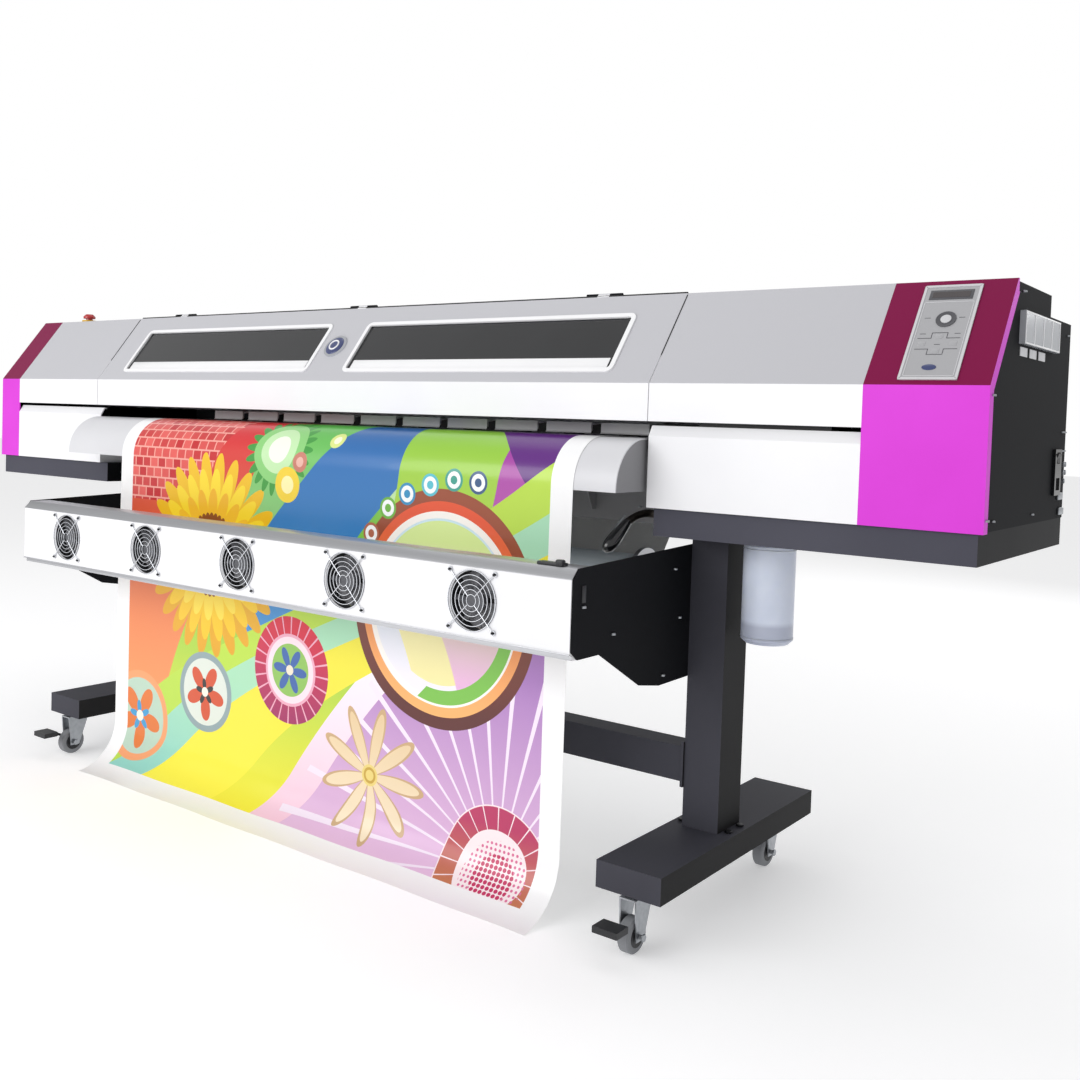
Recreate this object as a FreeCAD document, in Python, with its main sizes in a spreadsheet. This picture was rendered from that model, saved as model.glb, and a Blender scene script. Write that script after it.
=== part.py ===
import FreeCAD, Part
import math
import os
import re
import Sketcher

# Roll-fed wide-format inkjet printer with a cutter on its carriage, on a castered stand.
# Frame: +Z up, +X to the operator's right, -Y towards the operator, origin on the floor
# under the centre of the machine. Lengths in millimetres, angles in degrees.

SIZES = {
    # overall
    "overall_width": 3000,
    "overall_depth": 892,
    "body_depth": 592,
    "cover_rise": 293,
    "sheet_metal": 3,
    "gap": 1,
    # cross-section of the covers: a vertical lip, then a slope up to the top
    "slope_run": 141,
    "slope_rise": 187,
    "lip_height": 73,
    "lip_slot": 8,
    "flange_depth": 14,
    "top_land": 6,
    "rear_step_y": 420,
    "rear_step_drop": 40,
    "opening_rise": 79,
    # widths along the machine, from the left end
    "left_band_width": 101,
    "right_band_width": 208,
    "left_cover_width": 422,
    "right_cover_width": 422,
    "media_gap": 5,
    "band_drop": 133,
    "band_flange": 22,
    "side_inset": 10,
    "ledge_bevel": 20,
    "ledge_setback": 12,
    "ledge_width": 20,
    "pan_height": 54,
    "pan_setback": 8,
    "left_pan_right": 568,
    "right_pan_width": 603,
    # stand
    "stand_spacing": 1821,
    "stand_offset": 45,
    "foot_width": 137,
    "foot_length": 656,
    "foot_front": 152,
    "foot_bottom": 108,
    "foot_height": 51,
    "column_width": 79,
    "column_depth": 94,
    "column_front": 113,
    "column_fit": 1.5,
    "crossbeam_bottom": 246,
    "crossbeam_height": 71,
    "crossbeam_depth": 60,
    "end_plate": 6,
    # casters
    "wheel_radius": 33,
    "wheel_width": 24,
    "axle_radius": 4,
    "swivel_offset": 20,
    "front_caster_y": 112,
    "rear_caster_y": 435,
    "caster_plate": 4,
    "fork_wall": 3,
    "fork_gap": 3,
    "stem_radius": 6,
    "running_fit": 0.1,
    # bed, platens and rollers
    "bed_front": 175,
    "bed_depth": 155,
    "bed_drop": 131,
    "bed_wall": 5,
    "platen_top": 931,
    "platen_sheet": 3,
    "platen_front": 12,
    "platen_box_back": 128,
    "platen_box_height": 38,
    "guide_radius": 98,
    "guide_skirt": 5,
    "rear_curve": 60,
    "feed_y": 145,
    "grit_radius": 12,
    "feed_shaft_radius": 8,
    "gear_radius": 24,
    "gear_width": 10,
    "gear_inset": 350,
    "web_clear": 0.3,
    "web_thickness": 1,
    "pinch_count": 10,
    "pinch_pitch": 142.5,
    "pinch_start": 586,
    "pinch_width": 118,
    "pinch_radius": 9,
    "pinch_roller_width": 50,
    "pinch_pivot_y": 262,
    "pivot_rise": 37,
    "pinch_shaft_radius": 8,
    "apron_y": 100,
    "apron_drop": 173,
    "apron_thickness": 4,
    "left_gusset_inset": 157,
    "right_gusset_inset": 175,
    # carriage and its drive
    "beam_front": 240,
    "beam_depth": 90,
    "beam_clearance": 69,
    "beam_height": 180,
    "beam_margin": 60,
    "leg_thickness": 15,
    "rail_width": 15,
    "rail_height": 20,
    "rail_rise": 100,
    "slider_fit": 0.3,
    "home_inset": 400,
    "carriage_width": 260,
    "pulley_radius": 12,
    "pulley_width": 12,
    "pulley_axle": 4,
    "pulley_rise": 153,
    "pulley_margin": 150,
    "belt_thickness": 1.5,
    "belt_width": 8,
    "motor_radius": 28,
    "cutter_radius": 8,
    # roll supply
    "supply_y": 165,
    "supply_z": 642,
    "supply_shaft_radius": 18,
    "supply_pin_radius": 10,
    "flange_radius": 58,
    "flange_width": 10,
    "roll_radius": 43,
    "web_margin": 133,
    "web_shift": 10,
    # hanging web
    "web_curl": 120,
    # dryer
    "dryer_front": 300,
    "dryer_depth": 70,
    "dryer_bottom": 559,
    "dryer_chamfer": 16,
    "fan_count": 5,
    "fan_shift": 8,
    "fan_margin": 148,
    "fan_edge": 9,
    "fan_frame": 120,
    "fan_depth": 25,
    "fan_bore": 55,
    "rotor_hub": 20,
    "rotor_tip": 52,
    "dryer_bracket": 3,
    # small fittings
    "window_width": 748,
    "window_gap": 140,
    "window_low": 36,
    "window_high": 174,
    "glass": 4,
    "panel_inset": 152,
    "panel_width": 98,
    "panel_low": 10,
    "panel_high": 222,
    "panel_thickness": 2,
    "hinge_pin": 2.5,
    "hinge_radius": 4,
    "hinge_width": 90,
    "stop_x": 200,
    "stop_y": 172,
    "stop_radius": 18,
    "stop_stem": 10,
    "bottle_inset": 435,
    "bottle_y": 150,
    "bottle_radius": 50,
    "bottle_height": 200,
    "spout_radius": 16,
    "spout_length": 20,
    "tank_front": 200,
    "tank_length": 256,
    "tank_drop": 106,
    "tank_height": 58,
    "lever_gap": 11,
    "lever_y": 60,
    "lever_rise": 37,
    "lever_shaft": 8,
    "switch_y": 560,
    "switch_drop": 26,
}

# Places worked out from the sizes above; a word here stands for its bracketed formula.
DERIVED = {
    "half_width": "overall_width / 2",
    "face": "overall_depth / 2 - body_depth",
    "body_top": "platen_top + cover_rise",
    "crease": "body_top - slope_rise",
    "lip_bottom": "crease - lip_height",
    "slope_length": "sqrt(slope_run ^ 2 + slope_rise ^ 2)",
    "cover_back": "slope_run + top_land",
    "rear_front": "cover_back + sheet_metal",
    "left_x": "-half_width",
    "left_cover_x": "left_x + left_band_width",
    "lid_left": "left_cover_x + left_cover_width",
    "right_band_x": "half_width - right_band_width",
    "lid_right": "right_band_x - right_cover_width",
    "platen_left": "lid_left + 4 * media_gap",
    "platen_right": "lid_right - media_gap",
    "band_bottom": "platen_top - band_drop",
    "pan_bottom": "band_bottom - pan_height",
    "right_pan_x": "half_width - side_inset - right_pan_width",
    "rear_opening_top": "platen_top + opening_rise",
    "foot_top": "foot_bottom + foot_height",
    "bed_top": "platen_top - platen_sheet",
    "bed_bottom": "platen_top - bed_drop",
    "apron_bottom": "platen_top - apron_drop",
    "bed_back": "bed_front + bed_depth",
    "feed_z": "platen_top - grit_radius",
    "web_bottom": "platen_top + web_clear",
    "web_top": "web_bottom + web_thickness",
    "pinch_z": "web_top + web_clear + pinch_radius",
    "pinch_pivot_z": "platen_top + pivot_rise",
    "beam_back": "beam_front + beam_depth",
    "beam_bottom": "platen_top + beam_clearance",
    "rail_z": "beam_bottom + rail_rise",
    "pulley_z": "beam_bottom + pulley_rise",
    "home_x": "half_width - home_inset",
    "gear_x": "half_width - gear_inset",
    "swivel_z": "foot_bottom - caster_plate",
    "web_width": "dryer_width - 2 * web_margin",
    "web_left": "stand_offset - web_shift - web_width / 2",
    "dryer_x": "stand_offset - stand_spacing / 2 + column_width / 2 + dryer_bracket",
    "dryer_width": "stand_spacing - column_width - 2 * dryer_bracket",
    "dryer_y": "face - dryer_front",
    "dryer_height": "fan_frame + 2 * fan_edge",
    "dryer_top": "dryer_bottom + dryer_height",
    "fan_z": "dryer_bottom + dryer_height / 2",
    "fan_pitch": "(dryer_width - fan_frame - 2 * fan_margin) / (fan_count - 1)",
    "lever_x": "right_pan_x - lever_gap",
    "lever_z": "pan_bottom + lever_rise",
    "tank_bottom": "body_top - tank_drop",
    "switch_z": "platen_top - switch_drop",
}

document = FreeCAD.newDocument("WideFormatPrinter")
sheet = document.addObject("Spreadsheet::Sheet", "Size")
for row, (alias, value) in enumerate(SIZES.items(), start=1):
    sheet.set("A%d" % row, alias)
    sheet.set("B%d" % row, str(value))
    sheet.setAlias("B%d" % row, alias)
document.recompute()

nodes = {}


# ---------------------------------------------------------------- helpers

def formula(text):
    """Write out the derived places and point each size at its cell in the sheet."""
    text = str(text)
    while any(re.search(r"\b%s\b" % word, text) for word in DERIVED):
        text = re.sub(r"\b[a-z][a-z_]*\b", lambda m: "(%s)" % DERIVED[m.group()]
                      if m.group() in DERIVED else m.group(), text)
    return re.sub(r"\b[a-z][a-z_]*\b", lambda m: "Size." + m.group()
                  if m.group() in SIZES else m.group(), text)


def value_of(text):
    """The number that a formula gives with the sheet's present sizes."""
    result = sheet.evalExpression(formula(text).replace("Size.", ""))
    return float(getattr(result, "Value", result))


def bind(item, **properties):
    for name, text in properties.items():
        item.setExpression(name.replace("__", "."), formula(text))


def place(item, x=0, y=0, z=0):
    bind(item, Placement__Base__x=x, Placement__Base__y=y, Placement__Base__z=z)
    return item


def node(name, item):
    item.Label = name
    nodes[name] = item
    return item


def box(x, y, z, length, width, height):
    item = document.addObject("Part::Box", "Box")
    bind(item, Length=length, Width=width, Height=height)
    return place(item, x, y, z)


AXES = {
    "x": FreeCAD.Rotation(FreeCAD.Vector(0, 1, 0), 90),
    "y": FreeCAD.Rotation(FreeCAD.Vector(1, 0, 0), -90),
    "z": FreeCAD.Rotation(),
}


def rod(axis, radius, length, x, y, z):
    """A cylinder that starts at x, y, z and runs along the positive axis."""
    item = document.addObject("Part::Cylinder", "Rod")
    bind(item, Radius=radius, Height=length)
    item.Placement = FreeCAD.Placement(FreeCAD.Vector(), AXES[axis])
    return place(item, x, y, z)


def fuse(*items):
    if len(items) == 1:
        return items[0]
    item = document.addObject("Part::MultiFuse", "Joined")
    item.Shapes = list(items)
    return item


def cut(base, *tools):
    item = document.addObject("Part::Cut", "Trimmed")
    item.Base = base
    item.Tool = fuse(*tools)
    return item


def origin_plane(body, role):
    return [item for item in body.Origin.OriginFeatures if item.Role == role][0]


def draw(sketch, points):
    """Draw one closed outline. A point is (across, up) or (across, up, centre): with a
    centre, the run to the next point is the shorter arc about a centre at that across."""
    places = [FreeCAD.Vector(value_of(p[0]), value_of(p[1]), 0) for p in points]
    first = sketch.GeometryCount
    ends = []
    for index, point in enumerate(points):
        start = places[index]
        stop = places[(index + 1) % len(points)]
        if len(point) == 2:
            sketch.addGeometry(Part.LineSegment(start, stop), False)
            ends.append((1, 2))
            continue
        middle = (start + stop) * 0.5
        across = value_of(point[2])
        up = middle.y - (across - middle.x) * (stop.x - start.x) / (stop.y - start.y)
        centre = FreeCAD.Vector(across, up, 0)
        bearings = [math.atan2(p.y - centre.y, p.x - centre.x) for p in (start, stop)]
        forwards = (bearings[1] - bearings[0]) % (2 * math.pi) < math.pi
        low, high = bearings if forwards else bearings[::-1]
        if high < low:
            high += 2 * math.pi
        circle = Part.Circle(centre, FreeCAD.Vector(0, 0, 1), (start - centre).Length)
        sketch.addGeometry(Part.ArcOfCircle(circle, low, high), False)
        ends.append((1, 2) if forwards else (2, 1))
    count = len(points)
    for index, point in enumerate(points):
        following = (index + 1) % count
        sketch.addConstraint(Sketcher.Constraint(
            "Coincident", first + index, ends[index][1], first + following, ends[following][0]))
    for index, point in enumerate(points):
        at = ends[index][0]
        fix(sketch, "DistanceX", first + index, at, places[index].x, point[0])
        fix(sketch, "DistanceY", first + index, at, places[index].y, point[1])
        if len(point) == 3:
            fix(sketch, "DistanceX", first + index, 3, value_of(point[2]), point[2])


def fix(sketch, kind, geometry, at, number, text):
    """Hold one coordinate of a point at a formula from the sheet."""
    held = sketch.addConstraint(Sketcher.Constraint(kind, -1, 1, geometry, at, number))
    sketch.setExpression("Constraints[%d]" % held, formula(text))


PLANES = {"x": "YZ_Plane", "y": "XZ_Plane", "z": "XY_Plane"}


def extrusion(axis, outlines, length, x=0, y=0, z=0):
    """A body padded along the positive axis from one sketch of closed outlines."""
    body = document.addObject("PartDesign::Body", "Body")
    sketch = body.newObject("Sketcher::SketchObject", "Outline")
    sketch.AttachmentSupport = [(origin_plane(body, PLANES[axis]), "")]
    sketch.MapMode = "FlatFace"
    for outline in outlines:
        draw(sketch, outline)
    pad = body.newObject("PartDesign::Pad", "Pad")
    pad.Profile = sketch
    bind(pad, Length=length)
    pad.Reversed = axis == "y"
    return place(body, x, y, z)


def turned(points, axis="z"):
    """A body of revolution about its own vertical axis from a half outline."""
    body = document.addObject("PartDesign::Body", "Body")
    sketch = body.newObject("Sketcher::SketchObject", "Half")
    sketch.AttachmentSupport = [(origin_plane(body, "XZ_Plane"), "")]
    sketch.MapMode = "FlatFace"
    draw(sketch, points)
    turn = body.newObject("PartDesign::Revolution", "Turn")
    turn.Profile = sketch
    turn.ReferenceAxis = (sketch, ["V_Axis"])
    turn.Angle = 360
    body.Placement = FreeCAD.Placement(FreeCAD.Vector(), AXES[axis])
    return body


def front_outline(depth, bottom):
    """Inner side of the lip-and-slope outline, offset inwards by a depth."""
    return [
        ("face + %s" % depth, bottom),
        ("face + %s" % depth, "crease - %s * (slope_length - slope_rise) / slope_run" % depth),
        ("face + slope_run + %s * (slope_length - slope_run) / slope_rise" % depth,
         "body_top - %s" % depth),
        ("face + cover_back", "body_top - %s" % depth),
    ]


def cover_section(depth, bottom):
    """Closed outline of a bent sheet that follows the lip and the slope."""
    return front_outline("0", bottom) + front_outline(depth, bottom)[::-1]


def on_slope(along, inwards):
    """A point at a distance up the slope from the crease, and inwards from its face."""
    return (
        "face + (%s) * slope_run / slope_length + (%s) * slope_rise / slope_length"
        % (along, inwards),
        "crease + (%s) * slope_rise / slope_length - (%s) * slope_run / slope_length"
        % (along, inwards),
    )


def slope_block(low, high, outside, inside, start, width):
    """A block that lies along the slope between two heights and two depths."""
    outline = [on_slope(low, outside), on_slope(high, outside),
               on_slope(high, inside), on_slope(low, inside)]
    return extrusion("x", [outline], width, x=start)


# ---------------------------------------------------------------- stand

def stand_x(side):
    return "stand_offset %s stand_spacing / 2" % ("-" if side == "left" else "+")


FOOT_Y = "face - foot_front"
COLUMN_Y = "face + column_front"

for side in ("left", "right"):
    centre = stand_x(side)
    node(side + "_foot", box(
        centre + " - foot_width / 2", FOOT_Y, "foot_bottom",
        "foot_width", "foot_length", "foot_height"))
    tube = box(centre + " - column_width / 2", COLUMN_Y, "foot_top",
               "column_width", "column_depth", "bed_bottom - foot_top")
    hollow = box(centre + " - column_width / 2 + sheet_metal", COLUMN_Y + " + sheet_metal",
                 "foot_top + sheet_metal", "column_width - 2 * sheet_metal",
                 "column_depth - 2 * sheet_metal", "bed_bottom - foot_top - 2 * sheet_metal")
    node(side + "_column", cut(tube, hollow))

BEAM_LEFT = "stand_offset - stand_spacing / 2 + column_width / 2"
BEAM_LENGTH = "stand_spacing - column_width"
beam_pieces = [box(BEAM_LEFT, "face + column_front", "crossbeam_bottom",
                   BEAM_LENGTH, "crossbeam_depth", "crossbeam_height")]
for start in (BEAM_LEFT, BEAM_LEFT + " + " + BEAM_LENGTH + " - end_plate"):
    beam_pieces.append(box(start, "face + column_front - 5", "crossbeam_bottom - 10",
                           "end_plate", "crossbeam_depth + 15", "crossbeam_height + 20"))
for start in (BEAM_LEFT + " + end_plate", BEAM_LEFT + " + " + BEAM_LENGTH + " - end_plate - 5"):
    for height in ("crossbeam_bottom - 5", "crossbeam_bottom + crossbeam_height + 5"):
        beam_pieces.append(rod("x", 4, 5, start, "face + column_front + 30", height))
node("crossbeam", fuse(*beam_pieces))

# ---------------------------------------------------------------- casters

CASTERS = {
    "front_left": ("left", "face - front_caster_y", -1),
    "front_right": ("right", "face - front_caster_y", -1),
    "rear_left": ("left", "face + rear_caster_y", -1),
    "rear_right": ("right", "face + rear_caster_y", -1),
}
plates = []
for name, (side, swivel_y, lean) in CASTERS.items():
    centre = stand_x(side)
    wheel_y = "%s + (%d) * swivel_offset" % (swivel_y, lean)
    plates.append(cut(
        box(centre + " - 30", swivel_y + " - 30", "swivel_z", 60, 60, "caster_plate"),
        rod("z", "stem_radius + running_fit", "caster_plate", centre, swivel_y, "swivel_z")))
    fork_half = "wheel_width / 2 + fork_gap"
    crown = rod("z", 22, "fork_wall", centre, swivel_y, "swivel_z - 1 - fork_wall")
    bridge = box("%s - (%s) - fork_wall" % (centre, fork_half),
                 swivel_y + " - 38",
                 "swivel_z - 1 - fork_wall",
                 "wheel_width + 2 * fork_gap + 2 * fork_wall", 58, "fork_wall")
    stem = rod("z", "stem_radius", "caster_plate + 1 + fork_wall - running_fit", centre, swivel_y,
               "swivel_z - 1 - fork_wall")
    cheeks = []
    for start in ("%s - (%s) - fork_wall" % (centre, fork_half), "%s + (%s)" % (centre, fork_half)):
        back = "swivel_z - 1 - fork_wall"
        cheek = extrusion("x", [[
            ("%s + (%d) * 20" % (swivel_y, -lean), back),
            ("%s + (%d) * 14" % (wheel_y, -lean), "wheel_radius - 8"),
            ("%s + (%d) * 12" % (wheel_y, lean), "wheel_radius - 8"),
            ("%s + (%d) * 18" % (wheel_y, lean), back),
        ]], "fork_wall", x=start)
        bore = rod("x", "axle_radius + running_fit", "fork_wall", start, wheel_y, "wheel_radius")
        cheeks.append(cut(cheek, bore))
    node("caster_fork_" + name, fuse(crown, bridge, stem, *cheeks))
    tyre = turned([
        (0, "-wheel_width / 2"), ("wheel_radius - 3", "-wheel_width / 2"),
        ("wheel_radius", "-wheel_width / 2 + 3"), ("wheel_radius", "wheel_width / 2 - 3"),
        ("wheel_radius - 3", "wheel_width / 2"), (0, "wheel_width / 2"),
    ], "x")
    place(tyre, centre, wheel_y, "wheel_radius")
    axle_half = "(%s + fork_wall + 8.5)" % fork_half
    axle = rod("x", "axle_radius", "2 * " + axle_half, "%s - %s" % (centre, axle_half),
               wheel_y, "wheel_radius")
    node("caster_wheel_" + name, fuse(tyre, axle))
    if name.startswith("front"):
        ring = rod("x", 9, 5, "%s - (%s) - fork_wall - 7.5" % (centre, fork_half), wheel_y,
                   "wheel_radius")
        hole = rod("x", "axle_radius + running_fit", 5,
                   "%s - (%s) - fork_wall - 7.5" % (centre, fork_half), wheel_y, "wheel_radius")
        arm = extrusion("x", [[
            (wheel_y + " - 5", "wheel_radius + 7"), (wheel_y + " - 62", "wheel_radius + 28"),
            (wheel_y + " - 62", "wheel_radius + 40"), (wheel_y + " + 6", "wheel_radius + 7"),
        ]], 5, x="%s - (%s) - fork_wall - 7.5" % (centre, fork_half))
        tread = box("%s - (%s) - fork_wall - 7.5" % (centre, fork_half), wheel_y + " - 94",
                    "wheel_radius + 28", 52, 38, 12)
        node("brake_pedal_" + name, cut(fuse(ring, arm, tread), hole))
node("caster_plates", fuse(*plates))

# ---------------------------------------------------------------- bed and platens

bed_shell = cut(
    box("left_x + side_inset + sheet_metal", "face + bed_front", "bed_bottom",
        "overall_width - 2 * side_inset - 2 * sheet_metal", "bed_depth",
        "bed_top - bed_bottom"),
    box("left_x", "face + bed_front + bed_wall", "bed_bottom + bed_wall",
        "overall_width", "bed_depth - 2 * bed_wall", "bed_top - bed_bottom - 2 * bed_wall"))
bearings = []
for start in ("platen_left + 30", "platen_right - 45", "gear_x + 30"):
    bearings.append(cut(
        box(start, "face + feed_y - 14", "feed_z - 16", 15, "bed_front - feed_y + 14", 28),
        rod("x", "feed_shaft_radius + running_fit", 15, start, "face + feed_y", "feed_z")))
CAP_LEFT = "home_x - 120"
shelf = [box("home_x - 130", "face + 20", "bed_bottom + 20", 260,
             "bed_front - 20", 6)]
for across in ("home_x - 90", "home_x + 90"):
    shelf.append(rod("z", 5, 70, across, "face + 70", "bed_bottom + 26"))
node("main_bed", fuse(bed_shell, *bearings, *shelf))

PLATEN_WIDTH = "platen_right - platen_left"
front_box = extrusion("x", [[
    ("face + platen_front", "platen_top"),
    ("face + platen_front", "platen_top - platen_box_height"),
    ("face + bed_front", "platen_top - platen_box_height"),
    ("face + bed_front", "platen_top - platen_box_height + 6"),
    ("face + platen_box_back", "platen_top - platen_box_height + 6"),
    ("face + platen_box_back", "platen_top"),
]], PLATEN_WIDTH, x="platen_left")
rear_plate = extrusion("x", [[
    ("face + bed_front + gap", "platen_top"),
    ("face + bed_front + gap", "bed_top"),
    ("face + bed_back", "bed_top", "face + bed_back"),
    ("face + bed_back + rear_curve", "bed_top - rear_curve"),
    ("face + bed_back + rear_curve + platen_sheet", "bed_top - rear_curve",
     "face + bed_back"),
    ("face + bed_back", "platen_top"),
]], PLATEN_WIDTH, x="platen_left")
node("platens", fuse(front_box, rear_plate))

GUIDE_INNER = "guide_radius - platen_sheet"
node("front_guide", extrusion("x", [[
    ("face + platen_front", "platen_top"),
    ("face", "platen_top", "face"),
    ("face - guide_radius", "platen_top - guide_radius"),
    ("face - guide_radius", "platen_top - guide_radius - guide_skirt"),
    ("face - (%s)" % GUIDE_INNER, "platen_top - guide_radius - guide_skirt"),
    ("face - (%s)" % GUIDE_INNER, "platen_top - guide_radius", "face"),
    ("face", "platen_top - platen_sheet"),
    ("face + platen_front", "platen_top - platen_sheet"),
]], PLATEN_WIDTH, x="platen_left"))

ends = []
for start in ("platen_left", "platen_right - sheet_metal"):
    ends.append(extrusion("x", [[
        ("face + platen_front", "platen_top - platen_sheet"),
        ("face", "platen_top - platen_sheet", "face"),
        ("face - (%s)" % GUIDE_INNER, "platen_top - guide_radius"),
        ("face - (%s)" % GUIDE_INNER, "platen_top - guide_radius - guide_skirt"),
        ("face + platen_front", "platen_top - guide_radius - guide_skirt"),
    ]], "sheet_metal", x=start))
for start in ("platen_left + left_gusset_inset", "platen_right - right_gusset_inset"):
    ends.append(extrusion("x", [[
        ("face + apron_y", "platen_top - 60"),
        ("face + apron_y", "apron_bottom + 20"),
        ("face + apron_y - 14", "apron_bottom + 20"),
        ("face + apron_y - 60", "platen_top - 60"),
    ]], "sheet_metal", x=start))
APRON_X = "left_x + left_pan_right + gap"
apron = box(APRON_X, "face + apron_y", "apron_bottom", "platen_right - (%s)" % APRON_X,
            "apron_thickness", "platen_top - platen_box_height - apron_bottom")
node("lower_apron", fuse(apron, *ends))

# feed roller: grit rings under the pinch rollers, on one shaft with its gear
FEED_LEFT = "platen_left + 20"
roller = [rod("x", "feed_shaft_radius", "gear_x + 50 - (%s)" % FEED_LEFT, FEED_LEFT,
              "face + feed_y", "feed_z")]
roller.append(rod("x", "gear_radius", "gear_width", "gear_x", "face + feed_y", "feed_z"))
pinch_places = ["stand_offset - pinch_start + %d * pinch_pitch" % index
                for index in range(SIZES["pinch_count"])]
for across in pinch_places:
    roller.append(rod("x", "grit_radius", "pinch_roller_width + 20",
                      across + " - pinch_roller_width / 2 - 10", "face + feed_y", "feed_z"))
node("feed_roller", fuse(*roller))

# pinch arms: white plates on one lift shaft, each with a fork for its roller
SHAFT_LEFT = "left_x + beam_margin + gap"
SHAFT_LENGTH = "overall_width - 2 * beam_margin - 2 * gap"
arms = [rod("x", "pinch_shaft_radius", SHAFT_LENGTH, SHAFT_LEFT, "face + pinch_pivot_y",
            "pinch_pivot_z")]
for across in pinch_places:
    plate = extrusion("x", [[
        ("face + feed_y - 19", "pinch_z + pinch_radius + 6"),
        ("face + feed_y - 19", "pinch_z + pinch_radius + 2"),
        ("face + pinch_pivot_y", "pinch_pivot_z - 2"),
        ("face + pinch_pivot_y", "pinch_pivot_z + 3"),
    ]], "pinch_width", x=across + " - pinch_width / 2")
    lip = box(across + " - pinch_width / 2", "face + feed_y - 19", "pinch_z - 1",
              "pinch_width", 3, "pinch_radius + 7")
    arms += [plate, lip]
    for offset in ("-pinch_roller_width / 2 - 5", "pinch_roller_width / 2 + 1"):
        ear = box("%s + (%s)" % (across, offset), "face + feed_y - 6", "pinch_z - 5", 4, 12,
                  "pinch_radius + 9")
        arms.append(cut(ear, rod("x", "3 + running_fit", 4, "%s + (%s)" % (across, offset),
                                 "face + feed_y", "pinch_z")))
node("pinch_arms", fuse(*arms))

rollers = []
for across in pinch_places:
    rollers.append(fuse(
        rod("x", "pinch_radius", "pinch_roller_width", across + " - pinch_roller_width / 2",
            "face + feed_y", "pinch_z"),
        rod("x", 3, "pinch_roller_width + 12", across + " - pinch_roller_width / 2 - 6",
            "face + feed_y", "pinch_z")))
node("pinch_rollers", fuse(*rollers))

# ---------------------------------------------------------------- carriage and its beam

RAIL_BEAM_X = "left_x + beam_margin"
RAIL_BEAM_LENGTH = "overall_width - 2 * beam_margin"
beam_tube = cut(
    box(RAIL_BEAM_X, "face + beam_front", "beam_bottom", RAIL_BEAM_LENGTH, "beam_depth",
        "beam_height"),
    box(RAIL_BEAM_X, "face + beam_front + bed_wall", "beam_bottom + bed_wall",
        RAIL_BEAM_LENGTH, "beam_depth - 2 * bed_wall", "beam_height - 2 * bed_wall"))
legs = [box(start, "face + beam_front", "bed_top", "leg_thickness", "bed_back - beam_front",
            "beam_bottom + beam_height - bed_top")
        for start in (RAIL_BEAM_X, "half_width - beam_margin - leg_thickness")]
PULLEY_PLACES = {"idler_pulley": "left_x + pulley_margin",
                 "drive_pulley": "half_width - pulley_margin"}
bores = [rod("y", "pulley_axle + running_fit", "beam_depth + 2", across,
             "face + beam_front - 1", "pulley_z") for across in PULLEY_PLACES.values()]
bores.append(rod("x", "pinch_shaft_radius + running_fit", "overall_width", "left_x",
                 "face + pinch_pivot_y", "pinch_pivot_z"))
node("rail_beam", cut(fuse(beam_tube, *legs), *bores))

rail = box("left_x + 2 * beam_margin", "face + beam_front - rail_width",
           "rail_z - rail_height / 2", "overall_width - 4 * beam_margin", "rail_width",
           "rail_height")
motor = cut(
    rod("y", "motor_radius", 60, PULLEY_PLACES["drive_pulley"], "face + beam_back", "pulley_z - 5"),
    rod("y", "pulley_axle + running_fit", 20, PULLEY_PLACES["drive_pulley"],
        "face + beam_back", "pulley_z"))

PULLEY_Y = "face + beam_front - 4 - pulley_width"
for name, across in PULLEY_PLACES.items():
    depth = "beam_depth + 14" if name == "drive_pulley" else "beam_depth / 2"
    node(name, fuse(
        rod("y", "pulley_radius", "pulley_width", across, PULLEY_Y, "pulley_z"),
        rod("y", "pulley_axle", "pulley_width + 4 + " + depth, across, PULLEY_Y, "pulley_z")))


def belt_loop(radius):
    """The belt's round-ended outline at a distance from the pulleys' axes."""
    span = "overall_width - 2 * pulley_margin"
    return fuse(
        box("left_x + pulley_margin", PULLEY_Y + " + 2", "pulley_z - (%s)" % radius, span,
            "belt_width", "2 * (%s)" % radius),
        *[rod("y", radius, "belt_width", across, PULLEY_Y + " + 2", "pulley_z")
          for across in PULLEY_PLACES.values()])


BELT_INNER = "pulley_radius + web_clear"
belt = cut(belt_loop(BELT_INNER + " + belt_thickness"), belt_loop(BELT_INNER))
node("carriage_drive", fuse(rail, motor, belt))

CARRIAGE_X = "home_x - carriage_width / 2"
shell = extrusion("x", [[
    ("face + 24", "platen_top + 5"), ("face + 116", "platen_top + 5"),
    ("face + 116", "beam_bottom - 1"), ("face + 224", "beam_bottom - 1"),
    ("face + 224", "rail_z + 30"), ("face + 100", "rail_z + 30"), ("face + 24", "crease - 10"),
]], "carriage_width", x=CARRIAGE_X)
slider = box(CARRIAGE_X + " + 30", "face + beam_front - rail_width - 6", "rail_z - 25",
             "carriage_width - 60", "rail_width + 4", 50)
channel = box(CARRIAGE_X, "face + beam_front - rail_width - slider_fit",
              "rail_z - rail_height / 2 - slider_fit", "carriage_width", "2 * rail_width",
              "rail_height + 2 * slider_fit")
clamp = box(CARRIAGE_X + " + 100", "face + 216", "rail_z + 20", 40, 16,
            "pulley_z - pulley_radius - belt_thickness - 1 - rail_z - 20")
CUTTER_X = CARRIAGE_X + " - 16"
holder = cut(
    box(CUTTER_X + " - 14", "face + 56", "beam_bottom", 30, 30, 40),
    rod("z", "cutter_radius + running_fit", 40, CUTTER_X, "face + 71", "beam_bottom"))
node("carriage", cut(fuse(shell, slider, clamp, holder), channel))

cutter = turned([
    (0, 0), (2, 4), ("cutter_radius", 14), ("cutter_radius", 105), (0, 105)])
node("cutter", place(cutter, CUTTER_X, "face + 71", "platen_top + 12"))

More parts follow.
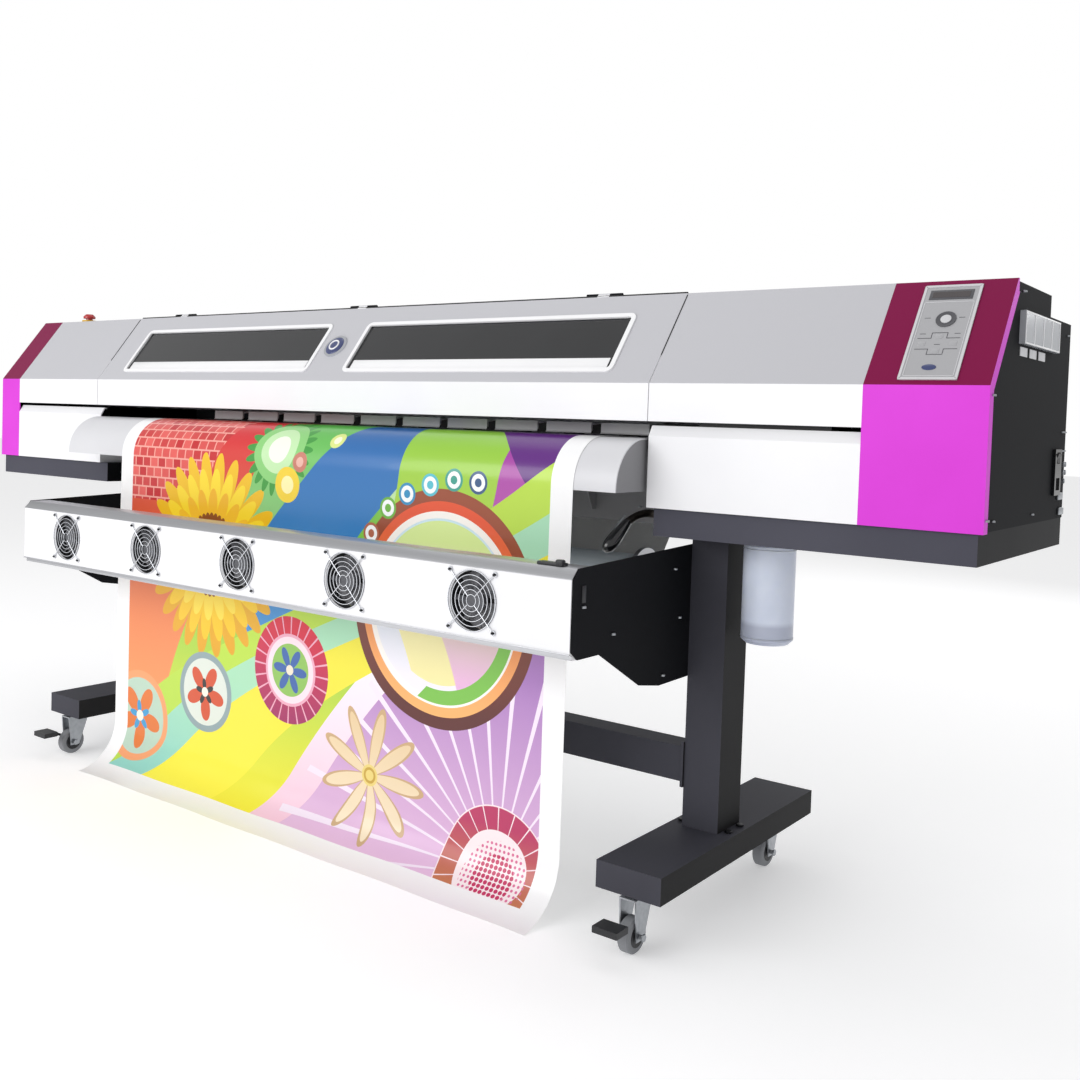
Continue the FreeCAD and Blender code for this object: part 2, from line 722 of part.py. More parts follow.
cap_block = box(CAP_LEFT, "face + 28", "bed_bottom + 60", 240, 84, "platen_top - bed_bottom - 57")
cap_bores = [rod("z", "5 + running_fit", 75, across, "face + 70", "bed_bottom + 50")
             for across in ("home_x - 90", "home_x + 90")]
node("cap_station", cut(cap_block, *cap_bores))

# ---------------------------------------------------------------- covers

node("left_end_band", fuse(
    extrusion("x", [cover_section("sheet_metal", "band_bottom")], "left_band_width", x="left_x"),
    extrusion("x", [cover_section("band_flange", "band_bottom")], "sheet_metal", x="left_x")))
node("right_end_band", fuse(
    extrusion("x", [cover_section("sheet_metal", "band_bottom")], "right_band_width",
              x="right_band_x"),
    extrusion("x", [cover_section("band_flange", "band_bottom")], "sheet_metal",
              x="half_width - sheet_metal")))
node("left_top_cover", fuse(
    extrusion("x", [cover_section("sheet_metal", "lip_bottom")], "left_cover_width - gap",
              x="left_cover_x"),
    extrusion("x", [cover_section("flange_depth", "lip_bottom")], "sheet_metal",
              x="lid_left - gap - sheet_metal")))
node("right_top_cover", fuse(
    extrusion("x", [cover_section("sheet_metal", "lip_bottom")], "right_cover_width - gap",
              x="lid_right + gap"),
    extrusion("x", [cover_section("flange_depth", "lip_bottom")], "sheet_metal",
              x="lid_right + gap")))

# hinged lid with two windows
LID_X = "lid_left + gap"
LID_WIDTH = "lid_right - lid_left - 2 * gap"
WINDOW_PLACES = ["(lid_left + lid_right) / 2 - window_gap / 2 - window_width",
                 "(lid_left + lid_right) / 2 + window_gap / 2"]
HINGE_PLACES = ["lid_left + 160", "(lid_left + lid_right) / 2 - hinge_width / 2",
                "lid_right - 160 - hinge_width"]
HINGE_Y = "face + cover_back + 1.5"
HINGE_Z = "body_top + hinge_radius"
lid_pieces = [extrusion("x", [cover_section("sheet_metal", "lip_bottom")], LID_WIDTH, x=LID_X)]
for start in (LID_X, LID_X + " + " + LID_WIDTH + " - sheet_metal"):
    lid_pieces.append(extrusion("x", [cover_section("flange_depth", "lip_bottom")],
                                "sheet_metal", x=start))
for start in HINGE_PLACES:
    middle = start + " + hinge_width / 3"
    lid_pieces.append(rod("x", "hinge_radius", "hinge_width / 3 - gap", middle, HINGE_Y, HINGE_Z))
    lid_pieces.append(box(middle, "face + slope_run", "body_top", "hinge_width / 3 - gap",
                          "top_land + 1.5", 1.5))
windows = [slope_block("window_low", "window_high", "-5", "10", start, "window_width")
           for start in WINDOW_PLACES]
pin_bore = rod("x", "hinge_pin + running_fit", LID_WIDTH, LID_X, HINGE_Y, HINGE_Z)
node("front_lid", cut(fuse(*lid_pieces), pin_bore, *windows))

panes = [slope_block("window_low - 10", "window_high + 10", "sheet_metal",
                     "sheet_metal + glass", start + " - 10", "window_width + 20")
         for start in WINDOW_PLACES]
node("lid_windows", fuse(*panes))

# lower panels: front sheet, bevelled ledge and the wall beside the media path
for side in ("left", "right"):
    start = "left_cover_x" if side == "left" else "lid_right + gap + 3"
    width = ("platen_left - left_cover_x - gap" if side == "left"
             else "right_band_x - lid_right - gap - 3")
    wall_x = "platen_left - gap - sheet_metal" if side == "left" else "lid_right + gap + 3"
    ledge = "lip_bottom - lip_slot"
    skin = extrusion("x", [[
        ("face", "band_bottom"), ("face", ledge + " - ledge_bevel"),
        ("face + ledge_setback", ledge), ("face + ledge_width", ledge),
        ("face + ledge_width", ledge + " - sheet_metal"),
        ("face + ledge_setback + 2", ledge + " - sheet_metal"),
        ("face + sheet_metal", ledge + " - ledge_bevel - 1"), ("face + sheet_metal", "band_bottom"),
    ]], width, x=start)
    wall = box(wall_x, "face", "band_bottom", "sheet_metal", "bed_front - gap",
               "platen_top - 26 - band_bottom")
    node(side + "_lower_panel", fuse(skin, wall))

# side panels close the ends, set in behind the bands' flanges
for side in ("left", "right"):
    start = "left_x + side_inset" if side == "left" else "half_width - side_inset - sheet_metal"
    node(side + "_side_panel", extrusion("x", [[
        ("face + sheet_metal", "band_bottom"),
        ("face + sheet_metal", "crease - sheet_metal * (slope_length - slope_rise) / slope_run"),
        ("face + slope_run + sheet_metal * (slope_length - slope_run) / slope_rise",
         "body_top - sheet_metal"),
        ("face + rear_step_y - sheet_metal", "body_top - sheet_metal"),
        ("face + rear_step_y - sheet_metal", "body_top - rear_step_drop - sheet_metal"),
        ("face + body_depth - sheet_metal", "body_top - rear_step_drop - sheet_metal"),
        ("face + body_depth - sheet_metal", "band_bottom"),
    ]], "sheet_metal", x=start))

REAR_X = "left_x + side_inset"
REAR_WIDTH = "overall_width - 2 * side_inset"
rear_sheet = extrusion("x", [[
    ("face + rear_front", "body_top"),
    ("face + rear_step_y", "body_top"),
    ("face + rear_step_y", "body_top - rear_step_drop"),
    ("face + body_depth", "body_top - rear_step_drop"),
    ("face + body_depth", "band_bottom"),
    ("face + body_depth - sheet_metal", "band_bottom"),
    ("face + body_depth - sheet_metal", "body_top - rear_step_drop - sheet_metal"),
    ("face + rear_step_y - sheet_metal", "body_top - rear_step_drop - sheet_metal"),
    ("face + rear_step_y - sheet_metal", "body_top - sheet_metal"),
    ("face + rear_front", "body_top - sheet_metal"),
]], REAR_WIDTH, x=REAR_X)
mouth = box("platen_left", "face + body_depth - 50", "band_bottom - 1", PLATEN_WIDTH, 100,
            "rear_opening_top - band_bottom + 1")
stop_hole = rod("z", "stop_stem + 0.3", 20, "left_x + stop_x", "face + stop_y", "body_top - 10")
returns = [box(start, "face + bed_back + gap", "band_bottom", "sheet_metal",
               "body_depth - bed_back - gap", "rear_opening_top - band_bottom")
           for start in ("platen_left - gap - sheet_metal", "platen_right + gap + 3")]
hinges = []
for start in HINGE_PLACES:
    hinges.append(rod("x", "hinge_pin", "hinge_width", start, HINGE_Y, HINGE_Z))
    for across in (start, start + " + 2 * hinge_width / 3"):
        hinges.append(rod("x", "hinge_radius", "hinge_width / 3 - gap", across, HINGE_Y, HINGE_Z))
        hinges.append(box(across, HINGE_Y, "body_top", "hinge_width / 3 - gap", 24, 1.5))
node("rear_cover", fuse(cut(rear_sheet, mouth, stop_hole), *returns, *hinges))


def pan(left, right):
    """An open tray that closes a housing from below."""
    width = "(%s) - (%s)" % (right, left)
    return cut(
        box(left, "face + pan_setback", "pan_bottom", width, "body_depth - 2 * pan_setback",
            "pan_height"),
        box(left + " + sheet_metal", "face + pan_setback + sheet_metal",
            "pan_bottom + sheet_metal", width + " - 2 * sheet_metal",
            "body_depth - 2 * pan_setback - 2 * sheet_metal", "pan_height"))


node("left_pan", pan("left_x + side_inset", "left_x + left_pan_right"))
column_hole = box(stand_x("right") + " - column_width / 2 - column_fit", COLUMN_Y + " - column_fit",
                  "pan_bottom - 1", "column_width + 2 * column_fit",
                  "column_depth + 2 * column_fit", "pan_height")
spout = rod("z", "spout_radius", "spout_length", "half_width - bottle_inset", "face + bottle_y",
            "pan_bottom - spout_length")
lever_hole = rod("x", "lever_shaft + running_fit", 20, "right_pan_x - 5",
                 "face + lever_y", "lever_z")
node("right_pan", fuse(cut(pan("right_pan_x", "half_width - side_inset"),
                           column_hole, lever_hole), spout))

# ---------------------------------------------------------------- roll supply and web

SUPPLY_LEFT = "dryer_x + dryer_bracket"
SUPPLY_LENGTH = "dryer_width - 2 * dryer_bracket"
supply = [
    rod("x", "supply_pin_radius", "dryer_width + 2 * dryer_bracket - gap",
        "dryer_x - dryer_bracket + gap / 2", "face + supply_y", "supply_z"),
    rod("x", "supply_shaft_radius", SUPPLY_LENGTH + " - 2 * gap", SUPPLY_LEFT + " + gap",
        "face + supply_y", "supply_z")]
for start in ("web_left - flange_width - gap", "web_left + web_width + gap"):
    supply.append(rod("x", "flange_radius", "flange_width", start, "face + supply_y", "supply_z"))
node("supply_shaft", fuse(*supply))
node("media_roll", cut(
    rod("x", "roll_radius", "web_width", "web_left", "face + supply_y", "supply_z"),
    rod("x", "supply_shaft_radius + web_clear", "web_width", "web_left", "face + supply_y",
        "supply_z")))


def tangent_point(radius, from_y, from_z):
    """Where a straight run from a point first touches the underside of the supply roll."""
    across = "(%s - face - supply_y)" % from_y
    up = "(%s - supply_z)" % from_z
    square = "(%s ^ 2 + %s ^ 2)" % (across, up)
    share = "((%s) ^ 2 / %s)" % (radius, square)
    side = "((%s) * sqrt(%s - (%s) ^ 2) / %s)" % (radius, square, radius, square)
    return ("face + supply_y + %s * %s + %s * %s" % (share, across, side, up),
            "supply_z + %s * %s - %s * %s" % (share, up, side, across))


# the web: from the roll over the rear plate, through the nip, over the guide to the floor
HANG = "(face - guide_radius - web_clear)"
CURL_CENTRE = HANG + " - web_curl"
BACK = "(face + bed_back + rear_curve + platen_sheet + web_clear)"
BEND = "(bed_top - rear_curve)"
FLOOR_REACH = 0.9


def floor_height(radius):
    """Height of the curl's surface where the web's end rests near the floor."""
    return "web_curl - sqrt((%s) ^ 2 - (web_curl * %s) ^ 2)" % (radius, round(1 - FLOOR_REACH, 3))


FLOOR_Y = "%s - web_curl * %s" % (HANG, FLOOR_REACH)
node("media_web", extrusion("x", [[
    tangent_point("roll_radius + web_clear", BACK, BEND),
    (BACK, BEND, "face + bed_back"),
    ("face + bed_back", "web_bottom"),
    ("face", "web_bottom", "face"),
    (HANG, "platen_top - guide_radius"),
    (HANG, "web_curl", CURL_CENTRE),
    (FLOOR_Y, floor_height("web_curl")),
    (FLOOR_Y, floor_height("web_curl - web_thickness"), CURL_CENTRE),
    (HANG + " - web_thickness", "web_curl"),
    (HANG + " - web_thickness", "platen_top - guide_radius", "face"),
    ("face", "web_top"),
    ("face + bed_back", "web_top", "face + bed_back"),
    (BACK + " + web_thickness", BEND),
    tangent_point("roll_radius + web_clear + web_thickness", BACK + " + web_thickness", BEND),
]], "web_width", x="web_left"))

# ---------------------------------------------------------------- dryer bar

fan_places = ["stand_offset - fan_shift + (%d - (fan_count - 1) / 2) * fan_pitch" % index
              for index in range(SIZES["fan_count"])]
bar = extrusion("x", [[
    ("dryer_y", "dryer_bottom"), ("dryer_y", "dryer_top - dryer_chamfer / 2"),
    ("dryer_y + dryer_chamfer", "dryer_top + dryer_chamfer / 2"),
    ("dryer_y + dryer_depth", "dryer_top + dryer_chamfer / 2"),
    ("dryer_y + dryer_depth", "dryer_top + dryer_chamfer / 2 - sheet_metal"),
    ("dryer_y + dryer_chamfer + 1", "dryer_top + dryer_chamfer / 2 - sheet_metal"),
    ("dryer_y + sheet_metal", "dryer_top - dryer_chamfer / 2 - 1"),
    ("dryer_y + sheet_metal", "dryer_bottom + sheet_metal"),
    ("dryer_y + dryer_depth", "dryer_bottom + sheet_metal"),
    ("dryer_y + dryer_depth", "dryer_bottom - 10"),
    ("dryer_y + 8", "dryer_bottom - 10"),
    ("dryer_y + 8", "dryer_bottom"),
]], "dryer_width", x="dryer_x")
fan_holes = [rod("y", "fan_bore", 20, across, "dryer_y - 1", "fan_z") for across in fan_places]
node("dryer_bar", cut(bar, *fan_holes))

FRAME_Y = "dryer_y + sheet_metal"
frames = []
for across in fan_places:
    frame = cut(
        box(across + " - fan_frame / 2", FRAME_Y, "fan_z - fan_frame / 2", "fan_frame",
            "fan_depth", "fan_frame"),
        rod("y", "fan_bore", "fan_depth + 2", across, FRAME_Y + " - 1", "fan_z"))
    strut = box(across + " - fan_bore - 2", FRAME_Y + " + fan_depth - 4", "fan_z - 4",
                "2 * fan_bore + 4", 4, 8)
    seat = rod("y", 14, 5, across, FRAME_Y + " + fan_depth - 5", "fan_z")
    bore = rod("y", "3 + running_fit", 10, across, FRAME_Y + " + fan_depth - 6", "fan_z")
    frames.append(cut(fuse(frame, strut, seat), bore))
node("fan_frames", fuse(*frames))

BLADES = 7
for index, across in enumerate(fan_places, start=1):
    hub = rod("y", "rotor_hub", "fan_depth - 12", across, FRAME_Y + " + 5", "fan_z")
    pin = rod("y", 3, "fan_depth - 8", across, FRAME_Y + " + 8", "fan_z")
    blades = []
    for blade in range(BLADES):
        # the blades start a little past the hub's seam, so that no edge lies on it
        turn = 360 / BLADES * (blade + 0.4)
        item = document.addObject("Part::Box", "Blade")
        bind(item, Length="rotor_tip - rotor_hub + 3", Width=2, Height="fan_depth - 14")
        around = FreeCAD.Rotation(FreeCAD.Vector(0, 1, 0), -turn)
        lay = FreeCAD.Rotation(FreeCAD.Vector(1, 0, 0), 55)
        item.Placement = FreeCAD.Placement(FreeCAD.Vector(), around.multiply(lay))
        outwards = math.cos(math.radians(turn))
        upwards = math.sin(math.radians(turn))
        blades.append(place(
            item, across + " + (rotor_hub - 3) * (%.6f)" % outwards, FRAME_Y + " + 14",
            "fan_z + (rotor_hub - 3) * (%.6f)" % upwards))
    node("fan_rotor_%d" % index, fuse(hub, pin, *blades))

plates = []
for start in ("dryer_x - dryer_bracket", "dryer_x + dryer_width"):
    plate = extrusion("x", [[
        ("dryer_y + 2", "dryer_bottom + 6"),
        ("dryer_y + 2", "dryer_top - dryer_chamfer / 2"),
        ("dryer_y + dryer_chamfer", "dryer_top + dryer_chamfer / 2 + 2"),
        (COLUMN_Y + " + column_depth - 6", "dryer_top + dryer_chamfer / 2 + 22"),
        (COLUMN_Y + " + column_depth - 6", "dryer_bottom - 98"),
        ("face", "dryer_bottom - 100"),
        ("face - 71", "dryer_bottom - 88"),
        ("face - 211", "dryer_bottom - 10"),
        ("dryer_y + 21", "dryer_bottom - 10"),
    ]], "dryer_bracket", x=start)
    bore = rod("x", "supply_pin_radius + running_fit", "dryer_bracket", start,
               "face + supply_y", "supply_z")
    plates.append(cut(plate, bore))
node("dryer_brackets", fuse(*plates))

# ---------------------------------------------------------------- controls and small fittings

node("control_panel", slope_block("panel_low", "panel_high", "-panel_thickness", "0",
                                  "half_width - panel_inset", "panel_width"))

head = turned([
    (0, 0), ("stop_stem", 0), ("stop_stem", 28), ("stop_radius", 28), ("stop_radius", 34),
    ("stop_radius - 7", 41), (0, 41)])
node("estop_head", place(head, "left_x + stop_x", "face + stop_y", "body_top - 16"))

lever_bend = document.addObject("Part::Feature", "LeverGrip")
bar_radius = value_of("lever_shaft")
points = [FreeCAD.Vector(*p) for p in
          ((0, 0, 0), (-30, -25, 2), (-45, -60, -15), (-60, -115, -70))]
shape = None
for start, stop in zip(points[:-1], points[1:]):
    run = stop - start
    piece = Part.makeCylinder(bar_radius, run.Length, start, run)
    piece = piece.fuse(Part.makeSphere(bar_radius, stop))
    shape = piece if shape is None else shape.fuse(piece)
grip = Part.makeCone(bar_radius + 1, bar_radius + 5, 62, points[2], points[3] - points[2])
shape = shape.fuse(grip).removeSplitter()
lever_bend.Shape = shape
lever_bend.Placement = FreeCAD.Placement(
    FreeCAD.Vector(value_of("lever_x"), value_of("face + lever_y"), value_of("lever_z")),
    FreeCAD.Rotation())
lever_shaft = rod("x", "lever_shaft", 170, "lever_x", "face + lever_y", "lever_z")
node("pinch_lever", fuse(lever_bend, lever_shaft))

bottle = turned([
    (0, 0), ("bottle_radius - 8", 0), ("bottle_radius", 8), ("bottle_radius", "bottle_height - 12"),
    ("bottle_radius - 10", "bottle_height"), ("spout_radius + 1", "bottle_height"),
    ("spout_radius + 1", "bottle_height - spout_length - 2"),
    ("0", "bottle_height - spout_length - 2")])
node("waste_bottle", place(bottle, "half_width - bottle_inset", "face + bottle_y",
                           "pan_bottom - bottle_height - 0.3"))

TANK_X = "half_width - side_inset"
tank = [cut(
    box(TANK_X, "face + tank_front", "tank_bottom", "side_inset", "tank_length", "tank_height"),
    box(TANK_X, "face + tank_front + 2", "tank_bottom + 2", "side_inset - 2", "tank_length - 4",
        "tank_height - 4"))]
for index in range(1, 4):
    tank.append(box(TANK_X, "face + tank_front + %d * tank_length / 4 - 1" % index, "tank_bottom",
                    "side_inset - 1", 2, "tank_height"))
ROCKER_TILT = 8
inlet = cut(
    box(TANK_X, "face + switch_y - 70", "switch_z - 60", 6, 50, 90),
    box(TANK_X + " + 2", "face + switch_y - 60", "switch_z - 50", 6, 30, 24),
    box(TANK_X + " - 1", "face + switch_y - 58", "switch_z + 2", 10, 26, 22),
    rod("y", 1.6, 30, TANK_X + " + 2.5", "face + switch_y - 60", "switch_z + 13"))
node("side_fittings", fuse(*tank, inlet))
rocker = extrusion("y", [[
    (0, -9.5), (5.5, -9), (3.5, 0), (5.5, 9), (0, 9.5)]], 24)
rocker.Placement = FreeCAD.Placement(
    FreeCAD.Vector(), FreeCAD.Rotation(FreeCAD.Vector(0, 1, 0), ROCKER_TILT))
place(rocker, TANK_X + " + 2.5", "face + switch_y - 57", "switch_z + 13")
pivot = rod("y", 1.5, 28, TANK_X + " + 2.5", "face + switch_y - 59", "switch_z + 13")
node("power_rocker", fuse(rocker, pivot))

# ---------------------------------------------------------------- check and write

document.recompute()
faults = []
for item in document.Objects:
    if any(word in item.State for word in ("Invalid", "Error")):
        faults.append("%s (%s)" % (item.Label, item.TypeId))
for name, item in nodes.items():
    if item.Shape.isNull() or not item.Shape.isValid() or not item.Shape.Solids:
        faults.append(name)
if faults:
    raise RuntimeError("failed: " + ", ".join(faults))
os.makedirs("parts", exist_ok=True)
for name, item in nodes.items():
    item.Shape.exportStep("parts/%s.step" % name)
print("wrote", len(nodes), "nodes")
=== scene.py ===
# %% [markdown]
# # A roll-fed printer with a cutter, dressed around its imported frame
# The frame holds every hard part at its real place. This lesson gives each part the finish that
# it has in the workshop, and models the small or soft pieces that the frame leaves out.

# %% Load the frame
import math

import bmesh
import bpy
from mathutils import Matrix, Vector


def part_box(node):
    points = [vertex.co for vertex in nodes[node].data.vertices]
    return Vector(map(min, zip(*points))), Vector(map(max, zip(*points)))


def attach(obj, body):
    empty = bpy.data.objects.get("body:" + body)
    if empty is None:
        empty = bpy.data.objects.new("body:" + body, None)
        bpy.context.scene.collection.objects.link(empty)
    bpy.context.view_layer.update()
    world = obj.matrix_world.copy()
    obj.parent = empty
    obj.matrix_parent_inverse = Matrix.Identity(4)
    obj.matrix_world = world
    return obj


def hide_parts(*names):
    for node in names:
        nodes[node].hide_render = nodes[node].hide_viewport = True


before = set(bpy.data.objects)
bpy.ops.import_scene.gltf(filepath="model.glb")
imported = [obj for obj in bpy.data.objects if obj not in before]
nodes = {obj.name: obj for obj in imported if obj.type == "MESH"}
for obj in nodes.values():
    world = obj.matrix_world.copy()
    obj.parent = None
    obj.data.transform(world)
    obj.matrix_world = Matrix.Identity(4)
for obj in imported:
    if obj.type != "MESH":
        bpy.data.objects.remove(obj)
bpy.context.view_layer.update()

# %% [markdown]
# ## The camera
# The machine is seen from in front of its right end, a little above the height of its lid. A long
# machine needs a short lens close by, so a real lens length and a real standing place are set first,
# and everything that follows is judged through them.

# %% Camera
STAND = Vector((2.0105, -2.0386, 0.9553))
TURN, TILT, ROLL = math.radians(36.854), math.radians(-2.166), math.radians(1.869)
ahead = Vector((-math.sin(TURN) * math.cos(TILT), math.cos(TURN) * math.cos(TILT), math.sin(TILT)))
level = Vector((math.cos(TURN), math.sin(TURN), 0))
upright = level.cross(ahead)
across = math.cos(ROLL) * level + math.sin(ROLL) * upright
upward = -math.sin(ROLL) * level + math.cos(ROLL) * upright
lens = bpy.data.cameras.new("Lens")
lens.lens = 38.12
lens.sensor_width = 36
lens.shift_x, lens.shift_y = 0.0092, -0.0694
lens.clip_start, lens.clip_end = 0.05, 60
camera = bpy.data.objects.new("Camera", lens)
bpy.context.scene.collection.objects.link(camera)
camera.matrix_world = Matrix.Translation(STAND) @ Matrix((across, upward, -ahead)).transposed().to_4x4()
bpy.context.scene.camera = camera
print("camera", [round(v, 3) for v in STAND], "lens", lens.lens)

# %% [markdown]
# ## Studio
# A catalogue picture is lit by wide soft boxes, so that paint shows its colour and no edge throws a
# hard shadow. The main box stands in front and to the left, so that the upright faces are brighter
# than the slopes. A pale floor bounces light under the machine.

# %% Floor, lamps and surroundings
bpy.ops.object.select_all(action="DESELECT")
bpy.ops.mesh.primitive_plane_add(size=60, location=(0, 0, 0))
floor = bpy.context.object
floor.name = "studio_floor"


def soft_box(name, place, aim, size, watts):
    light = bpy.data.lights.new(name, "AREA")
    light.shape = "RECTANGLE"
    light.size, light.size_y = size
    light.energy = watts
    lamp = bpy.data.objects.new(name, light)
    lamp.location = place
    lamp.rotation_euler = (Vector(aim) - Vector(place)).to_track_quat("-Z", "Y").to_euler()
    bpy.context.scene.collection.objects.link(lamp)


soft_box("main_box", (-1.5, -5.0, 2.6), (0, 0, 0.7), (5.0, 2.5), 148)
soft_box("top_box", (0, 0.6, 4.2), (0, 0, 0), (4.5, 2.0), 16)
soft_box("back_box", (1.0, 5.0, 2.6), (0, 0, 0.7), (4.0, 2.0), 40)
world = bpy.data.worlds.new("Studio")
bpy.context.scene.world = world
world.use_nodes = True
world.node_tree.nodes["Background"].inputs["Color"].default_value = (1, 1, 1, 1)
# The backdrop is seen at full white, but lights the machine with only part of that, so that faces
# turned from the main box stay dark.
sky = world.node_tree
seen = sky.nodes.new("ShaderNodeMapRange")
BACKDROP_LIGHT = 0.6
seen.inputs["To Min"].default_value, seen.inputs["To Max"].default_value = BACKDROP_LIGHT, 1.0
sky.links.new(sky.nodes.new("ShaderNodeLightPath").outputs["Is Camera Ray"], seen.inputs["Value"])
sky.links.new(seen.outputs["Result"], sky.nodes["Background"].inputs["Strength"])
bpy.context.scene.view_settings.view_transform = "Standard"

# %% [markdown]
# ## Making materials
# Every finish is built from nodes. Colours are written as the hex values that a paint chart gives
# and turned to linear light in one place. One function adds a node, and the finishes share it.

# %% Colour and node helpers


def ink(code):
    """An sRGB hex colour as the linear colour that shaders use."""
    parts = [int(code[i:i + 2], 16) / 255 for i in (0, 2, 4)]
    return [p / 12.92 if p <= 0.04045 else ((p + 0.055) / 1.055) ** 2.4 for p in parts] + [1]


def add(tree, kind, settings=None, values=None, links=None):
    """Adds one node with its settings, its sockets' values and the sockets that feed it."""
    made = tree.nodes.new(kind)
    for key, value in (settings or {}).items():
        setattr(made, key, value)
    for key, value in (values or {}).items():
        made.inputs[key].default_value = value
    for key, source in (links or {}).items():
        tree.links.new(source, made.inputs[key])
    return made


print("white in linear light:", ink("FFFFFF"))


# %% Starting a material and giving it to parts
def start(name):
    """A new material: its node tree, its surface shader and its object coordinates."""
    material = bpy.data.materials.new(name)
    material.use_nodes = True
    tree = material.node_tree
    tree.nodes.clear()
    surface = add(tree, "ShaderNodeBsdfPrincipled")
    add(tree, "ShaderNodeOutputMaterial", links={"Surface": surface.outputs["BSDF"]})
    spot = add(tree, "ShaderNodeTexCoord").outputs["Object"]
    return material, tree, surface, spot


def dress(material, *names):
    """Gives a finish to parts of the frame by name, or to new pieces."""
    for name in names:
        target = nodes[name] if isinstance(name, str) else name
        target.data.materials.clear()
        target.data.materials.append(material)


print("materials can be made")

# %% [markdown]
# ## Powder coat and wet paint
# Sheet steel covers are powder coated: the powder melts into a skin with a faint orange-peel
# texture about 1.5 mm across. At this viewing distance the peel only softens the shine, so it is
# drawn a little coarser, as a shallow bump. A slow drift of colour stands for handling and dust.
# Sheets that lean back, and the end faces of the stand and trays, are given painted shade: a
# darker colour, chosen by the direction of the surface in the part itself, so it stays when the lid
# opens.


# %% Sprayed finishes
def sprayed(name, base, worn, roughness, peel_mm, height, coat=0.0, slope=None, shine=0.5,
            side=None):
    """Paint with orange peel. Slopes that lean back, and end faces, may get a darker painted shade."""
    material, tree, surface, spot = start(name)
    drift = add(tree, "ShaderNodeTexNoise", values={"Scale": 2.2, "Detail": 5.0},
                links={"Vector": spot})
    share = add(tree, "ShaderNodeMapRange",
                values={"From Min": 0.38, "From Max": 0.68, "To Min": 0.0, "To Max": 1.0},
                links={"Value": drift.outputs["Fac"]})
    tone = add(tree, "ShaderNodeMix", {"data_type": "RGBA"}, {"A": ink(base), "B": ink(worn)},
               {"Factor": share.outputs["Result"]})
    shown = tone.outputs["Result"]
    # Painted shade: faces that lean back take the darker slope colour.
    if slope:
        lean = add(tree, "ShaderNodeSeparateXYZ",
                   links={"Vector": add(tree, "ShaderNodeTexCoord").outputs["Normal"]})
        sky = add(tree, "ShaderNodeMapRange", values={"From Min": 0.25, "From Max": 0.5},
                  links={"Value": lean.outputs["Z"]})
        shown = add(tree, "ShaderNodeMix", {"data_type": "RGBA"}, {"B": ink(slope)},
                    {"Factor": sky.outputs["Result"], "A": shown}).outputs["Result"]
    # Painted shade: end faces, turned along the machine, take the darker side colour.
    if side:
        facing = add(tree, "ShaderNodeSeparateXYZ",
                     links={"Vector": add(tree, "ShaderNodeTexCoord").outputs["Normal"]})
        either = add(tree, "ShaderNodeMath", {"operation": "ABSOLUTE"},
                     links={0: facing.outputs["X"]})
        end = add(tree, "ShaderNodeMapRange", values={"From Min": 0.5, "From Max": 0.8},
                  links={"Value": either.outputs[0]})
        shown = add(tree, "ShaderNodeMix", {"data_type": "RGBA"}, {"B": ink(side)},
                    {"Factor": end.outputs["Result"], "A": shown}).outputs["Result"]
    tree.links.new(shown, surface.inputs["Base Color"])
    peel = add(tree, "ShaderNodeTexNoise", values={"Scale": 1000 / peel_mm, "Detail": 2.0},
               links={"Vector": spot})
    gloss = add(tree, "ShaderNodeMapRange",
                values={"To Min": roughness - 0.05, "To Max": roughness + 0.07},
                links={"Value": drift.outputs["Fac"]})
    tree.links.new(gloss.outputs["Result"], surface.inputs["Roughness"])
    bump = add(tree, "ShaderNodeBump", values={"Strength": height, "Distance": 0.0004},
               links={"Height": peel.outputs["Fac"]})
    tree.links.new(bump.outputs["Normal"], surface.inputs["Normal"])
    surface.inputs["Specular IOR Level"].default_value = shine
    surface.inputs["Coat Weight"].default_value = coat
    surface.inputs["Coat Roughness"].default_value = 0.12
    return material


print("sprayed finishes can be made")

# %% The paints of this machine
# White powder coat on sheet steel: clean, drifting to a slightly greyer white, low shine.
white_coat = sprayed("White_powder_coat", "F1F1F3", "E9E9EC", 0.42, 3.0, 0.25)
# Polyester paint on the lid and top covers: satin and near white; painted shade greys the slope.
cover_coat_with_painted_slope_shade = sprayed("Near_white_polyester_with_painted_slope_shade", "F2F2F4", "EAEAED", 0.36, 2.5, 0.2, 0.15,
                      slope="BFBFC4")
# Magenta lacquer: deep pigment, with painted shade making it a dark wine red where the sheet leans
# back.
magenta_coat = sprayed("Magenta_lacquer", "DA42D8", "D03ACB", 0.38, 2.5, 0.18,
                       slope="7E0A44", shine=0.15)
# Slate-grey powder coat on the trays under the housings, with near-black painted shade on the end
# faces.
slate_coat = sprayed("Slate_powder_coat", "4E4E58", "464650", 0.55, 3.5, 0.35, shine=0.12,
                     side="161719")
# Black fine-texture powder coat: the end plates, the rear cover and the dryer brackets.
black_coat = sprayed("Black_texture_coat", "121316", "18191C", 0.65, 4.0, 0.6, shine=0.08)
# Charcoal powder coat on the welded stand, with near-black painted shade on the end faces.
charcoal_coat = sprayed("Charcoal_powder_coat", "3E3E45", "45454D", 0.55, 3.5, 0.35, shine=0.12,
                        side="1F1F20")
# Mid-grey paint on the apron below the front guide.
apron_coat = sprayed("Grey_apron_paint", "8B8B8D", "818184", 0.45, 3.0, 0.25)
